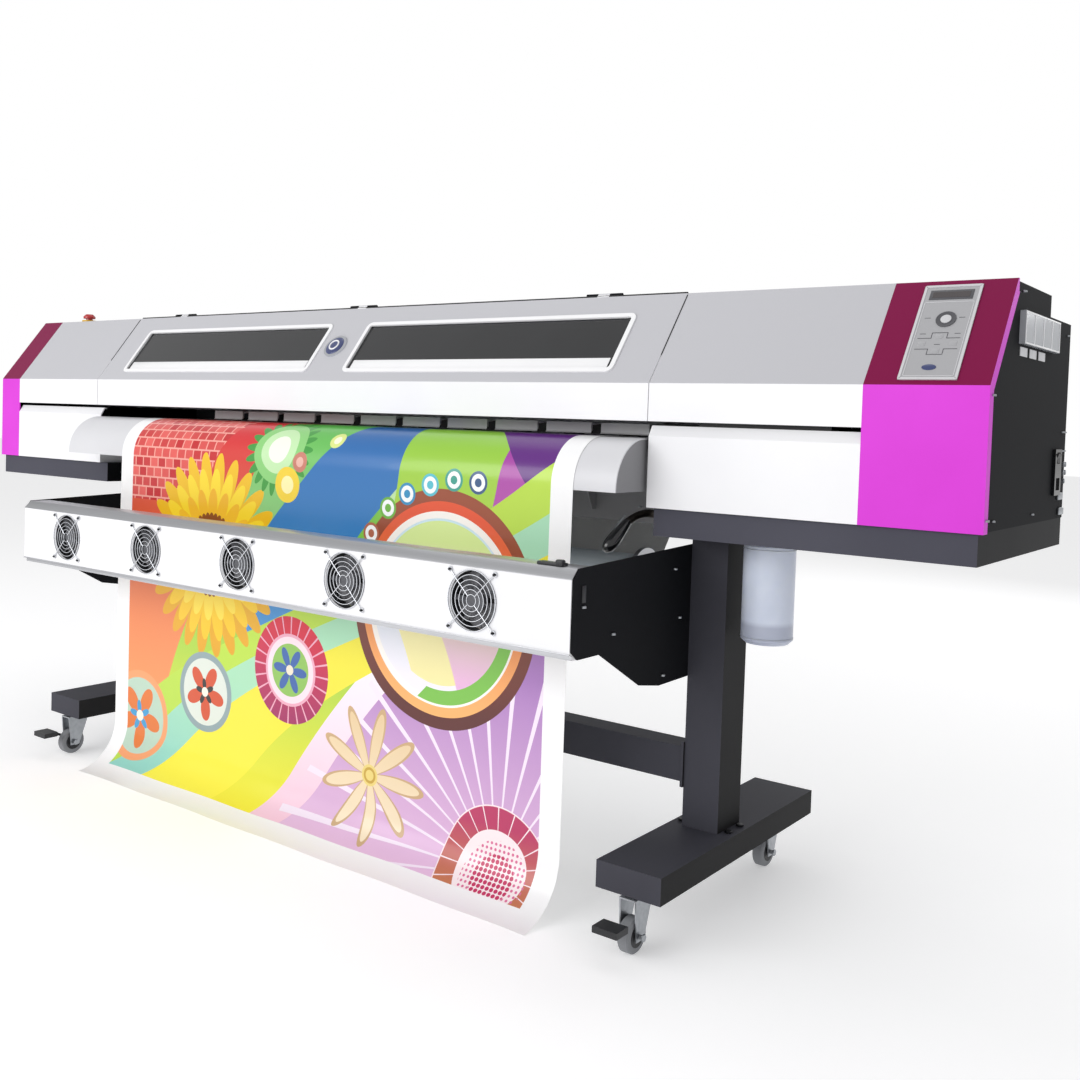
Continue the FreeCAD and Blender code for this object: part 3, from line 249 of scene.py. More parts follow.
# Satin white paint on the rolled guide, drawn a little greyer than the covers as painted shade.
guide_coat_with_painted_shade = sprayed("Satin_white_guide_paint", "DCDCDF", "D2D2D6", 0.34, 3.0, 0.2)
dress(guide_coat_with_painted_shade, "front_guide")
dress(white_coat, "left_lower_panel", "right_lower_panel", "dryer_bar", "pinch_arms")
dress(cover_coat_with_painted_slope_shade, "front_lid", "left_top_cover", "right_top_cover")
dress(magenta_coat, "left_end_band", "right_end_band")
dress(slate_coat, "left_pan", "right_pan")
dress(black_coat, "left_side_panel", "right_side_panel", "rear_cover", "dryer_brackets")
dress(charcoal_coat, "left_foot", "right_foot", "left_column", "right_column", "crossbeam")
dress(apron_coat, "lower_apron")
print("sprayed finishes:", len(bpy.data.materials))

# %% [markdown]
# ## Bare metals
# Extruded aluminium keeps fine lines along its length, and zinc plate on pressed steel is brighter
# and blotchy. Both are metals, so they have no colour of their own apart from their reflection;
# long thin noise roughens them in one direction.


# %% Brushed and plated metal
def metal(name, base, shade, roughness, grain_mm, stretch, height, specks=0.0):
    """Bare metal whose grain is stretched along an axis; specks sets the size of blotches in mm."""
    material, tree, surface, spot = start(name)
    lines = add(tree, "ShaderNodeMapping",
                values={"Scale": [1000 / (grain_mm * s) for s in stretch]}, links={"Vector": spot})
    grain = add(tree, "ShaderNodeTexNoise", values={"Scale": 1.0, "Detail": 3.0},
                links={"Vector": lines.outputs["Vector"]})
    tone = add(tree, "ShaderNodeMix", {"data_type": "RGBA"}, {"A": ink(base), "B": ink(shade)},
               {"Factor": grain.outputs["Fac"]})
    tree.links.new(tone.outputs["Result"], surface.inputs["Base Color"])
    gloss = add(tree, "ShaderNodeMapRange",
                values={"To Min": roughness - 0.08, "To Max": roughness + 0.12},
                links={"Value": grain.outputs["Fac"]})
    tree.links.new(gloss.outputs["Result"], surface.inputs["Roughness"])
    source = grain.outputs["Fac"]
    if specks:
        flecks = add(tree, "ShaderNodeTexVoronoi", values={"Scale": 1000 / specks},
                     links={"Vector": spot})
        source = flecks.outputs["Distance"]
    bump = add(tree, "ShaderNodeBump", values={"Strength": height, "Distance": 0.0002},
               links={"Height": source})
    tree.links.new(bump.outputs["Normal"], surface.inputs["Normal"])
    surface.inputs["Metallic"].default_value = 1.0
    return material


# Anodised aluminium: drawn along the machine, so its lines run in X.
aluminium = metal("Anodised_aluminium", "C9CACD", "B4B5B9", 0.36, 1.2, (60, 1, 1), 0.25)
# Bright zinc plate on pressed steel: blotchy and cooler.
zinc = metal("Bright_zinc_plate", "B9BCC0", "9DA1A6", 0.32, 9.0, (1, 1, 1), 0.3, 5.0)
# Polished chrome wire on the fan guards.
chrome = metal("Chromed_wire", "E4E6EA", "CFD2D8", 0.14, 6.0, (1, 1, 1), 0.05)
# Grit-blasted steel of the feed shaft, which grips the back of the vinyl.
grit_steel = metal("Grit_blasted_steel", "A8A9AC", "77797D", 0.5, 1.5, (1, 1, 1), 0.8, 1.5)
# Free-cutting brass of the blade holder.
brass = metal("Turned_brass", "C9A45A", "B08A44", 0.28, 1.0, (1, 1, 8), 0.2)
dress(aluminium, "main_bed", "platens", "rail_beam", "drive_pulley", "idler_pulley", "supply_shaft")
dress(zinc, "caster_plates", "carriage_drive", "caster_fork_front_left", "caster_fork_front_right",
      "caster_fork_rear_left", "caster_fork_rear_right")
dress(grit_steel, "feed_roller")
dress(brass, "cutter")
print("metals:", aluminium.name, zinc.name, chrome.name, grit_steel.name, brass.name)

# %% [markdown]
# ## Plastics and rubber
# Moulded ABS carries the spark-eroded texture of its mould, a fine pebble. Rubber is duller, and its
# tone drifts a little. The windows are smoked acrylic, and the box on the right end is clear
# polycarbonate, drawn only partly clear because no tanks are modelled inside it.


# %% Moulded finishes
def moulded(name, base, worn, roughness, pebble_mm, height, **sockets):
    """Moulded plastic or rubber with a pebbled skin; further sockets are given by name."""
    material, tree, surface, spot = start(name)
    pebble = add(tree, "ShaderNodeTexVoronoi", {"feature": "SMOOTH_F1"},
                 {"Scale": 1000 / pebble_mm}, {"Vector": spot})
    drift = add(tree, "ShaderNodeTexNoise", values={"Scale": 12.0, "Detail": 4.0},
                links={"Vector": spot})
    tone = add(tree, "ShaderNodeMix", {"data_type": "RGBA"}, {"A": ink(base), "B": ink(worn)},
               {"Factor": drift.outputs["Fac"]})
    tree.links.new(tone.outputs["Result"], surface.inputs["Base Color"])
    gloss = add(tree, "ShaderNodeMapRange",
                values={"To Min": roughness - 0.05, "To Max": roughness + 0.1},
                links={"Value": drift.outputs["Fac"]})
    tree.links.new(gloss.outputs["Result"], surface.inputs["Roughness"])
    bump = add(tree, "ShaderNodeBump", values={"Strength": height, "Distance": 0.0003},
               links={"Height": pebble.outputs["Distance"]})
    tree.links.new(bump.outputs["Normal"], surface.inputs["Normal"])
    for key, value in sockets.items():
        surface.inputs[key.replace("_", " ")].default_value = value
    return material


print("moulded finishes can be made")

# %% The plastics and rubbers of this machine
black_abs = moulded("Black_moulded_ABS", "16171A", "222327", 0.42, 2.0, 0.35)
gloss_abs = moulded("Polished_black_grip", "101114", "17181B", 0.2, 6.0, 0.05, Coat_Weight=0.6)
tread_rubber = moulded("Grey_tread_rubber", "8D8F93", "74767A", 0.7, 3.0, 0.5)
roller_rubber = moulded("Black_roller_rubber", "1A1A1B", "2A2A2B", 0.75, 1.5, 0.5)
stop_red = moulded("Red_stop_button_plastic", "C21418", "A80F14", 0.28, 8.0, 0.05, Coat_Weight=0.4)
stop_yellow = moulded("Yellow_stop_collar_plastic", "E8B90C", "D8A808", 0.38, 4.0, 0.1)
smoked = moulded("Smoked_acrylic", "1B1C1F", "232427", 0.1, 40.0, 0.02, Transmission_Weight=0.25,
                 IOR=1.49, Coat_Weight=0.5)
clear_box = moulded("Clear_polycarbonate", "DADDE2", "C9CDD4", 0.12, 30.0, 0.03,
                    Transmission_Weight=0.75, IOR=1.58)
dress(black_abs, "brake_pedal_front_left", "brake_pedal_front_right", "fan_frames", "carriage",
      "power_rocker", "cap_station")
dress(gloss_abs, "pinch_lever")
dress(tread_rubber, *["caster_wheel_%s_%s" % (end, side) for end in ("front", "rear")
                      for side in ("left", "right")])
dress(roller_rubber, "pinch_rollers")
dress(stop_red, "estop_head")
dress(smoked, "lid_windows")
print("moulded finishes done")

# %% Two plastics in one node
# The side fittings are one node: the tank box stands above this height and the black inlet below.
TANK_FLOOR_Z, TANK_CLEARNESS = 1.05, 0.35
tree = clear_box.node_tree
surface = next(n for n in tree.nodes if n.type == "BSDF_PRINCIPLED")
tint = surface.inputs["Base Color"].links[0].from_socket
height = add(tree, "ShaderNodeSeparateXYZ",
             links={"Vector": add(tree, "ShaderNodeTexCoord").outputs["Object"]})
tank_part = add(tree, "ShaderNodeMath", {"operation": "GREATER_THAN"}, {1: TANK_FLOOR_Z},
                {0: height.outputs["Z"]})
two_parts = add(tree, "ShaderNodeMix", {"data_type": "RGBA"}, {"A": ink("141517")},
                {"Factor": tank_part.outputs[0], "B": tint})
tree.links.new(two_parts.outputs["Result"], surface.inputs["Base Color"])
clearness = add(tree, "ShaderNodeMath", {"operation": "MULTIPLY"}, {1: TANK_CLEARNESS},
                {0: tank_part.outputs[0]})
tree.links.new(clearness.outputs[0], surface.inputs["Transmission Weight"])
dress(clear_box, "side_fittings")
print("tank box above", TANK_FLOOR_Z)

# %% [markdown]
# ## Modelling helpers
# New pieces start as a primitive at its size and place and are shaped in edit mode. Everything is
# deselected first, because the frame's own parts come in selected. A finished piece sits at the
# origin with its place in its mesh, so that its texture keeps its real scale.


# %% Selecting and settling a piece
def lone():
    """Leaves nothing selected."""
    bpy.ops.object.select_all(action="DESELECT")


def settle(piece, name, material, body, smooth=None):
    """Names a finished piece, bakes its place into its mesh and hangs it on its body.

    With no material, the piece keeps those it has."""
    lone()
    piece.select_set(True)
    bpy.context.view_layer.objects.active = piece
    bpy.ops.object.transform_apply(location=True, rotation=True, scale=True)
    if smooth:
        bpy.ops.object.shade_smooth_by_angle(angle=math.radians(smooth))
    piece.name = name
    piece.data.name = name
    if material:
        dress(material, piece)
    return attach(piece, body)


print("pieces can be settled")


# %% Blocks and discs
def block(size, place, rounding, turn=(0, 0, 0)):
    """A box with its edges rounded in edit mode."""
    lone()
    bpy.ops.mesh.primitive_cube_add(size=1, location=place, rotation=turn)
    bpy.context.object.scale = size
    bpy.ops.object.transform_apply(location=False, rotation=False, scale=True)
    bpy.ops.object.mode_set(mode="EDIT")
    bpy.ops.mesh.select_all(action="SELECT")
    bpy.ops.mesh.bevel(offset=rounding, segments=2, affect="EDGES")
    bpy.ops.object.mode_set(mode="OBJECT")
    return bpy.context.object


def pick(piece, test):
    """In edit mode, selects the faces whose centre and normal pass a test."""
    mesh = bmesh.from_edit_mesh(piece.data)
    for face in mesh.faces:
        face.select_set(bool(test(face.calc_center_median(), face.normal)))
    bmesh.update_edit_mesh(piece.data)


def disc(radius, depth, place, turn=(0, 0, 0), sides=32, rim=0.0, dish=0.0):
    """A short turned piece: a cylinder whose top is inset by rim and pushed in by dish."""
    lone()
    bpy.ops.mesh.primitive_cylinder_add(vertices=sides, radius=radius, depth=depth,
                                        location=place, rotation=turn)
    piece = bpy.context.object
    if rim:
        bpy.ops.object.mode_set(mode="EDIT")
        pick(piece, lambda centre, normal: normal.z > 0.9)
        bpy.ops.mesh.inset(thickness=rim, depth=-dish)
        bpy.ops.object.mode_set(mode="OBJECT")
    return piece


print("blocks and discs can be made")


# %% Joining and copying
def joined(pieces):
    """Several pieces made one mesh."""
    lone()
    for piece in pieces:
        piece.select_set(True)
    bpy.context.view_layer.objects.active = pieces[0]
    if len(pieces) > 1:
        bpy.ops.object.join()
    return bpy.context.object


def copies(model, moves):
    """Copies a finished model to several places, each with its own mesh, and joins them."""
    made = []
    for move in moves:
        twin = model.copy()
        twin.data = model.data.copy()
        twin.matrix_world = Matrix.Translation(move) @ model.matrix_world
        bpy.context.scene.collection.objects.link(twin)
        made.append(twin)
    bpy.data.objects.remove(model)
    return joined(made)


print("pieces can be joined and copied")

# %% [markdown]
# ## Places shared with the frame
# The covers lean back at one angle, and many trims lie on that slope. A point on it is given by its
# place along the machine and its distance up from the crease, both measured from the lid's box.

# %% The slope of the covers
lid_low, lid_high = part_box("front_lid")
left_band, right_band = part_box("left_end_band"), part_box("right_end_band")
LEFT_END_X, RIGHT_END_X = left_band[0].x, right_band[1].x
FACE_Y = lid_low.y
CREASE_Z, TOP_Z = 1.037, right_band[1].z
SLOPE_RUN = 0.141
slope_angle = math.atan2(TOP_Z - CREASE_Z, SLOPE_RUN)
LEAN = (slope_angle, 0, 0)
out_of_slope = Vector((0, -math.sin(slope_angle), math.cos(slope_angle)))
up_slope = Vector((0, math.cos(slope_angle), math.sin(slope_angle)))


def on_slope(x, up, lift=0.0):
    """A point on the slope, up from the crease and lifted off the sheet."""
    return Vector((x, FACE_Y, CREASE_Z)) + up_slope * up + out_of_slope * lift


print("slope", round(math.degrees(slope_angle), 1), "degrees, top at", round(TOP_Z, 3))

# %% [markdown]
# ## The printed vinyl
# The web is soft vinyl 0.2 mm thick, drawn 0.4 mm thick, and 1.47 m wide. It leaves the roll,
# climbs over the rear plate, crosses the platen, turns down over the front guide and hangs to the
# floor, where its own stiffness curls the end forwards. A sheet follows its path best as one strip
# of cells laid along that line, with each cell's own distance kept as its texture place. A shallow
# ripple and lifted edges are worked out from that distance; no cloth simulation is used.

# %% The path of the web, seen from the side
# The middle of the web runs this far off whatever it rests on.
REST_GAP = 0.0008
web_low, web_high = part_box("media_web")
roll_low, roll_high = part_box("media_roll")
guide_low, guide_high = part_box("front_guide")
ROLL_CENTRE = ((roll_low.y + roll_high.y) / 2, (roll_low.z + roll_high.z) / 2)
ROLL_RADIUS = (roll_high.z - roll_low.z) / 2
GUIDE_RADIUS = FACE_Y - guide_low.y + REST_GAP
TABLE_Z = guide_high.z + REST_GAP
GUIDE_CENTRE_Z = TABLE_Z - GUIDE_RADIUS
HANG_Y = FACE_Y - GUIDE_RADIUS
CURL_RADIUS = 0.12
REAR_CENTRE = (0.184, 0.868)
REAR_RADIUS = TABLE_Z - REAR_CENTRE[1]


def arc(centre, radius, first, last, steps):
    """Points (y, z) along an arc between two angles in degrees."""
    turns = [math.radians(first + (last - first) * i / steps) for i in range(steps + 1)]
    return [(centre[0] + radius * math.cos(t), centre[1] + radius * math.sin(t)) for t in turns]


def run(first, last, steps):
    """Points between two ends, without the ends."""
    return [(first[0] + (last[0] - first[0]) * i / steps, first[1] + (last[1] - first[1]) * i / steps)
            for i in range(1, steps)]


roll_exit = arc(ROLL_CENTRE, ROLL_RADIUS + REST_GAP, -37.6, -37.6, 1)[:1]
rear_bend = arc(REAR_CENTRE, REAR_RADIUS, 0, 90, 12)
front_bend = arc((FACE_Y, GUIDE_CENTRE_Z), GUIDE_RADIUS, 90, 180, 18)
curl = arc((HANG_Y - CURL_RADIUS, CURL_RADIUS), CURL_RADIUS, 0, -84, 20)
path = (roll_exit + run(roll_exit[0], rear_bend[0], 14) + rear_bend
        + run(rear_bend[-1], front_bend[0], 14) + front_bend
        + run(front_bend[-1], curl[0], 60) + curl)
lengths = [0.0]
for before, after in zip(path, path[1:]):
    lengths.append(lengths[-1] + math.dist(before, after))
hang_start = lengths[len(path) - len(curl) - 60]
WEB_WIDTH = web_high.x - web_low.x

# %% The strip of cells
COLUMNS = 48
RIPPLE, EDGE_LIFT, SKIN = 0.0016, 0.004, 0.0004
lone()
bpy.ops.mesh.primitive_grid_add(x_subdivisions=COLUMNS, y_subdivisions=len(path) - 1, size=1)
web = bpy.context.object
cells = web.data
art_places = cells.uv_layers.active
for index, vertex in enumerate(cells.vertices):
    row, column = divmod(index, COLUMNS + 1)
    share = column / COLUMNS
    hang = max(0.0, lengths[row] - hang_start)
    ripple = RIPPLE * math.sin(9 * share * math.pi + 3 * hang) * min(1.0, hang / 0.3)
    edge_lift = EDGE_LIFT * (2 * abs(share - 0.5)) ** 6 * min(1.0, hang / 0.4)
    vertex.co = (web_low.x + share * WEB_WIDTH, path[row][0] - ripple - edge_lift, path[row][1])
for loop in cells.loops:
    row, column = divmod(loop.vertex_index, COLUMNS + 1)
    art_places.data[loop.index].uv = (column / COLUMNS * WEB_WIDTH,
                                      GUIDE_CENTRE_Z - (lengths[row] - hang_start))
cells.update()
bpy.ops.object.mode_set(mode="EDIT")
bpy.ops.mesh.select_all(action="SELECT")
bpy.ops.mesh.normals_make_consistent(inside=False)
bpy.ops.object.mode_set(mode="OBJECT")
skin = web.modifiers.new("Skin", "SOLIDIFY")
skin.thickness = SKIN
skin.offset = 0
bpy.ops.object.modifier_apply(modifier="Skin")
print("web cells:", len(web.data.polygons))

# %% [markdown]
# ## The artwork on the vinyl
# The print is a poster of flat and blended shapes: coloured bands that sweep across, a large
# flower, rings, rays and dots. Each shape is a mask worked out from the distance or angle to a
# point on the sheet, in metres, and each mask lays one colour over what lies below it. That keeps
# every edge sharp, however near the eye comes. The design is made up for this lesson.

# %% Masks for the shapes
print_sheet, art, art_surface, _ = start("Solvent_print_on_vinyl")
place_uv = add(art, "ShaderNodeUVMap", {"uv_map": art_places.name}).outputs["UV"]
split_uv = add(art, "ShaderNodeSeparateXYZ", links={"Vector": place_uv})


def lay(under, shade, mask):
    """One colour, or the blend of two up the sheet, over what is below it."""
    mix = add(art, "ShaderNodeMix", {"data_type": "RGBA"}, links={"Factor": mask, "A": under})
    if isinstance(shade, tuple):
        low, high, bottom, top = shade
        rise = add(art, "ShaderNodeMapRange", values={"From Min": low, "From Max": high},
                   links={"Value": split_uv.outputs["Y"]})
        shade = add(art, "ShaderNodeMix", {"data_type": "RGBA"}, {"A": ink(bottom), "B": ink(top)},
                    {"Factor": rise.outputs["Result"]}).outputs["Result"]
        art.links.new(shade, mix.inputs["B"])
    else:
        mix.inputs["B"].default_value = ink(shade)
    return mix.outputs["Result"]


def both(first, second):
    return add(art, "ShaderNodeMath", {"operation": "MULTIPLY"},
               links={0: first, 1: second}).outputs[0]


def reach(centre):
    """How far each point of the sheet is from a centre."""
    return add(art, "ShaderNodeVectorMath", {"operation": "DISTANCE"}, {1: (*centre, 0)},
               {0: place_uv}).outputs["Value"]


def ring(centre, inner, outer):
    return add(art, "ShaderNodeMath", {"operation": "COMPARE"},
               {1: (inner + outer) / 2, 2: (outer - inner) / 2}, {0: reach(centre)}).outputs[0]


def bearing(centre):
    """The angle of each point of the sheet about a centre, in radians."""
    arm = add(art, "ShaderNodeVectorMath", {"operation": "SUBTRACT"}, {1: (*centre, 0)},
              {0: place_uv})
    sides = add(art, "ShaderNodeSeparateXYZ", links={"Vector": arm.outputs["Vector"]})
    return add(art, "ShaderNodeMath", {"operation": "ARCTAN2"},
               links={0: sides.outputs["Y"], 1: sides.outputs["X"]}).outputs[0]


def spokes(centre, count, share, turn=0.0):
    """Equal sectors about a centre: share of each one is inside."""
    lap = add(art, "ShaderNodeMath", {"operation": "MULTIPLY_ADD"},
              {1: count / (2 * math.pi), 2: count + turn}, {0: bearing(centre)})
    part = add(art, "ShaderNodeMath", {"operation": "FRACT"}, links={0: lap.outputs[0]})
    return add(art, "ShaderNodeMath", {"operation": "LESS_THAN"}, {1: share},
               {0: part.outputs[0]}).outputs[0]


def petals(centre, count, inner, outer, turn=0.0, point=0.7):
    """A flower outline: its radius swings between inner and outer, count times around."""
    lap = add(art, "ShaderNodeMath", {"operation": "MULTIPLY_ADD"}, {1: count / 2, 2: turn},
              {0: bearing(centre)})
    wave = add(art, "ShaderNodeMath", {"operation": "COSINE"}, links={0: lap.outputs[0]})
    size = add(art, "ShaderNodeMath", {"operation": "ABSOLUTE"}, links={0: wave.outputs[0]})
    shape = add(art, "ShaderNodeMath", {"operation": "POWER"}, {1: point}, {0: size.outputs[0]})
    edge = add(art, "ShaderNodeMath", {"operation": "MULTIPLY_ADD"}, {1: outer - inner, 2: inner},
               {0: shape.outputs[0]})
    return add(art, "ShaderNodeMath", {"operation": "LESS_THAN"},
               links={0: reach(centre), 1: edge.outputs[0]}).outputs[0]


def sweep(along, low, high, bend=0.0, waves=4.0):
    """A band across the sheet between two distances along a direction, with a bent edge."""
    shift = add(art, "ShaderNodeVectorMath", {"operation": "DOT_PRODUCT"}, {1: (*along, 0)},
                {0: place_uv}).outputs["Value"]
    lap = add(art, "ShaderNodeMath", {"operation": "MULTIPLY"}, {1: waves},
              {0: split_uv.outputs["Y"]})
    wave = add(art, "ShaderNodeMath", {"operation": "SINE"}, links={0: lap.outputs[0]})
    bent = add(art, "ShaderNodeMath", {"operation": "MULTIPLY_ADD"}, {1: bend},
               {0: wave.outputs[0], 2: shift})
    return add(art, "ShaderNodeMath", {"operation": "COMPARE"},
               {1: (low + high) / 2, 2: (high - low) / 2}, {0: bent.outputs[0]}).outputs[0]


def dots(pitch, size):
    """Round dots on a square grid."""
    cell = add(art, "ShaderNodeVectorMath", {"operation": "SCALE"}, {"Scale": 1 / pitch},
               {0: place_uv})
    inside = add(art, "ShaderNodeVectorMath", {"operation": "FRACTION"},
                 links={0: cell.outputs["Vector"]})
    return add(art, "ShaderNodeMath", {"operation": "LESS_THAN"}, {1: size},
               {0: add(art, "ShaderNodeVectorMath", {"operation": "DISTANCE"}, {1: (0.5, 0.5, 0)},
                       {0: inside.outputs["Vector"]}).outputs["Value"]}).outputs[0]


print("masks ready")

# %% Colour fields that sweep across the sheet
field = add(art, "ShaderNodeMix", {"data_type": "RGBA"},
            {"Factor": 0.0, "A": ink("BFE2A6"), "B": ink("BFE2A6")}).outputs["Result"]
FAR = 3.0
field = lay(field, (0.0, 0.5, "F4E92C", "7FC547"), sweep((1, 0.1), 0.3, 1.0, 0.06, 7.0))
field = lay(field, (0.1, 0.9, "F1A25E", "D5242B"), sweep((1, -0.42), -FAR, 0.16, 0.05, 5.0))
field = lay(field, (0.35, 0.95, "BFE5B0", "58B947"), both(
    sweep((1, -0.42), 0.16, 0.52, 0.05, 5.0), sweep((0, 1), 0.52, FAR)))
field = lay(field, (0.5, 0.95, "3F8FD0", "1F63A8"), both(
    sweep((1, -0.5), 0.30, 0.60, -0.07, 8.0), sweep((0, 1), 0.42, FAR)))
field = lay(field, (0.55, 0.95, "C6DE4A", "8CC63B"), both(
    sweep((1, -0.2), 0.80, 1.10, 0.05, 6.0), sweep((0, 1), 0.42, FAR)))
field = lay(field, (0.5, 0.9, "D977C4", "A33BA0"), both(
    sweep((1, -0.25), 1.04, FAR, 0.04, 6.0), sweep((0, 1), 0.42, FAR)))
field = lay(field, "5E1C7E", both(
    sweep((1, 0.9), 2.08, FAR, 0.03, 5.0), sweep((0, 1), 0.7, FAR)))
field = lay(field, (0.0, 0.45, "E3BBDD", "A879BC"), sweep((1, -0.9), 0.72, FAR, 0.05, 5.0))
field = lay(field, (0.0, 0.4, "F3C7DB", "F6EAF3"), sweep((1, -0.9), 0.62, 0.72, 0.05, 5.0))
field = lay(field, (0.0, 0.3, "F9EE3A", "EDE23A"), sweep((0.72, -1), 0.12, 0.34, 0.07, 6.0))
field = lay(field, (0.0, 0.3, "8FD2C6", "A8DDB9"), sweep((0.62, -1), 0.03, 0.12, 0.07, 6.0))
field = lay(field, "B9DB46", sweep((0.62, -1), -0.06, 0.03, 0.07, 6.0))
print("fields laid")

# %% Tiles, rays and dots
tiles = add(art, "ShaderNodeTexBrick", {"offset": 0.5, "squash": 1.0},
            {"Color1": ink("E9635C"), "Color2": ink("C3161F"), "Mortar": ink("F2A79B"),
             "Scale": 1.0, "Mortar Size": 0.0022, "Bias": 0.1, "Brick Width": 0.032,
             "Row Height": 0.026}, {"Vector": place_uv})
corner = both(sweep((1, -0.42), -FAR, 0.0, 0.05, 5.0), sweep((0, 1), 0.72, FAR))
tile_mix = add(art, "ShaderNodeMix", {"data_type": "RGBA"},
               links={"Factor": corner, "A": field, "B": tiles.outputs["Color"]})
field = tile_mix.outputs["Result"]
RAYS = (1.316, 0.047)
ray_field = both(ring(RAYS, 0.12, 0.62), sweep((1, -0.9), 0.66, FAR, 0.05, 5.0))
field = lay(field, "F1E3F3", both(spokes(RAYS, 34, 0.16), ray_field))
print("tiles and rays laid")

# %% The big ring and its satellites
RING = (1.144, 0.558)
for inner, outer, shade in ((0.0, 0.19, (0.35, 0.75, "F5EDF6", "CBE6F2")),
                            (0.19, 0.205, "FBF6F0"),
                            (0.205, 0.226, (0.35, 0.75, "F6B26A", "E4532B")),
                            (0.226, 0.252, (0.35, 0.75, "5A2420", "9A4A2C"))):
    field = lay(field, shade, ring(RING, inner, outer))
field = lay(field, (0.4, 0.7, "E7B3DD", "D9EE9C"),
            both(ring(RING, 0.0, 0.185), sweep((1, 0.6), 1.42, FAR, 0.03, 9.0)))
field = lay(field, (0.4, 0.7, "F3E9A6", "F7F3C0"),
            both(ring(RING, 0.0, 0.16), sweep((1, 0.6), 1.30, 1.42, 0.03, 9.0)))
field = lay(field, "7BBF4B", both(ring(RING, 0.17, 0.2), sweep((1, -1), 0.72, FAR)))
for satellite, shade in (((0.937, 0.70), "B0654A"), ((0.986, 0.759), "6CB33F"),
                         ((1.041, 0.793), "2F8FBF"), ((1.106, 0.816), "58BFD0"),
                         ((1.171, 0.83), "3F9F8F"), ((1.236, 0.828), "3A5A86")):
    field = lay(field, shade, ring(satellite, 0.0, 0.024))
    field = lay(field, "F8FAFA", ring(satellite, 0.009, 0.018))
print("rings laid")

# %% Flowers
SUN = (0.385, 0.60)
for count, inner, outer, turn, shade in ((26, 0.175, 0.255, 0.0, (0.35, 0.85, "E0A312", "F2C312")),
                                         (24, 0.145, 0.215, 0.9, (0.4, 0.8, "F4C516", "FADC2A")),
                                         (20, 0.110, 0.165, 0.3, (0.45, 0.75, "FBE04A", "F0B414"))):
    field = lay(field, shade, petals(SUN, count, inner, outer, turn))
for inner, outer, shade in ((0.0, 0.105, "8A4A18"), (0.0, 0.07, "B0641C"), (0.02, 0.04, "6A3410")):
    field = lay(field, shade, petals(SUN, 40, outer * 0.92, outer) if inner == 0
                else ring(SUN, inner, outer))
BURST = (0.62, 0.874)
field = lay(field, "3E9A3C", petals(BURST, 22, 0.075, 0.115, 0.0, 0.9))
for size, shade in ((0.085, "8CD07A"), (0.06, "C6EBB4"), (0.035, "F4FBEA")):
    field = lay(field, shade, ring(BURST, 0.0, size))
STAR = (0.954, 0.167)
field = lay(field, "C9A77C", petals(STAR, 9, 0.03, 0.158, 0.3, 1.6))
field = lay(field, (0.05, 0.3, "F3E2C2", "E2C79C"), petals(STAR, 9, 0.022, 0.145, 0.3, 2.2))
field = lay(field, "E8D27A", ring(STAR, 0.0, 0.024))
field = lay(field, "C7A23C", ring(STAR, 0.012, 0.018))
for orb, size, shade, centre_shade in (((0.80, 0.905), 0.022, "DDE98A", "F6F9D8"),
                                       ((0.66, 0.79), 0.042, "F3D236", "FCF3B0"),
                                       ((0.70, 0.845), 0.024, "C97C6A", "E8B5A6")):
    field = lay(field, shade, ring(orb, 0.0, size))
    field = lay(field, centre_shade, ring(orb, 0.0, size * 0.5))
print("flowers laid")

# %% Medallions and the half ring of dots
for centre, size, rim, fill, heart, swirl in (
        ((0.374, 0.254), 0.100, "8FA3A8", "DCE3DA", "D2512A", "2C2A28"),
        ((0.104, 0.146), 0.120, "F2A06A", "B9D3C0", "E2772C", "3C9BD0")):
    field = lay(field, rim, ring(centre, 0.0, size))
    field = lay(field, fill, ring(centre, 0.0, size * 0.84))
    field = lay(field, heart, petals(centre, 5, size * 0.2, size * 0.72, 0.6, 1.2))
    field = lay(field, swirl, petals(centre, 5, size * 0.08, size * 0.34, 2.0, 1.6))
    field = lay(field, "F6EFE0", ring(centre, 0.0, size * 0.12))
WHEEL = (0.686, 0.358)
field = lay(field, "E8A8BE", ring(WHEEL, 0.0, 0.126))
field = lay(field, (0.25, 0.46, "A0245E", "D3223C"),
            both(ring(WHEEL, 0.085, 0.126), spokes(WHEEL, 24, 0.86)))
field = lay(field, "F4DCE6", ring(WHEEL, 0.0, 0.078))
field = lay(field, "8DBE5A", ring(WHEEL, 0.0, 0.062))
field = lay(field, "3A62A8", petals(WHEEL, 6, 0.012, 0.056, 0.2, 1.2))
field = lay(field, "EADFCB", ring(WHEEL, 0.0, 0.012))
field = lay(field, "F7E4EA", ring(RAYS, 0.0, 0.135))
field = lay(field, (-0.08, 0.14, "C98A3A", "B83060"),
            both(ring(RAYS, 0.085, 0.132), spokes(RAYS, 20, 0.93)))
field = lay(field, "F8E9EC", ring(RAYS, 0.0, 0.085))
field = lay(field, "C2185B", both(dots(0.011, 0.42), ring((1.326, 0.035), 0.0, 0.05)))
field = lay(field, "D86A96", both(dots(0.011, 0.28), ring((1.326, 0.035), 0.05, 0.078)))
print("medallions laid")

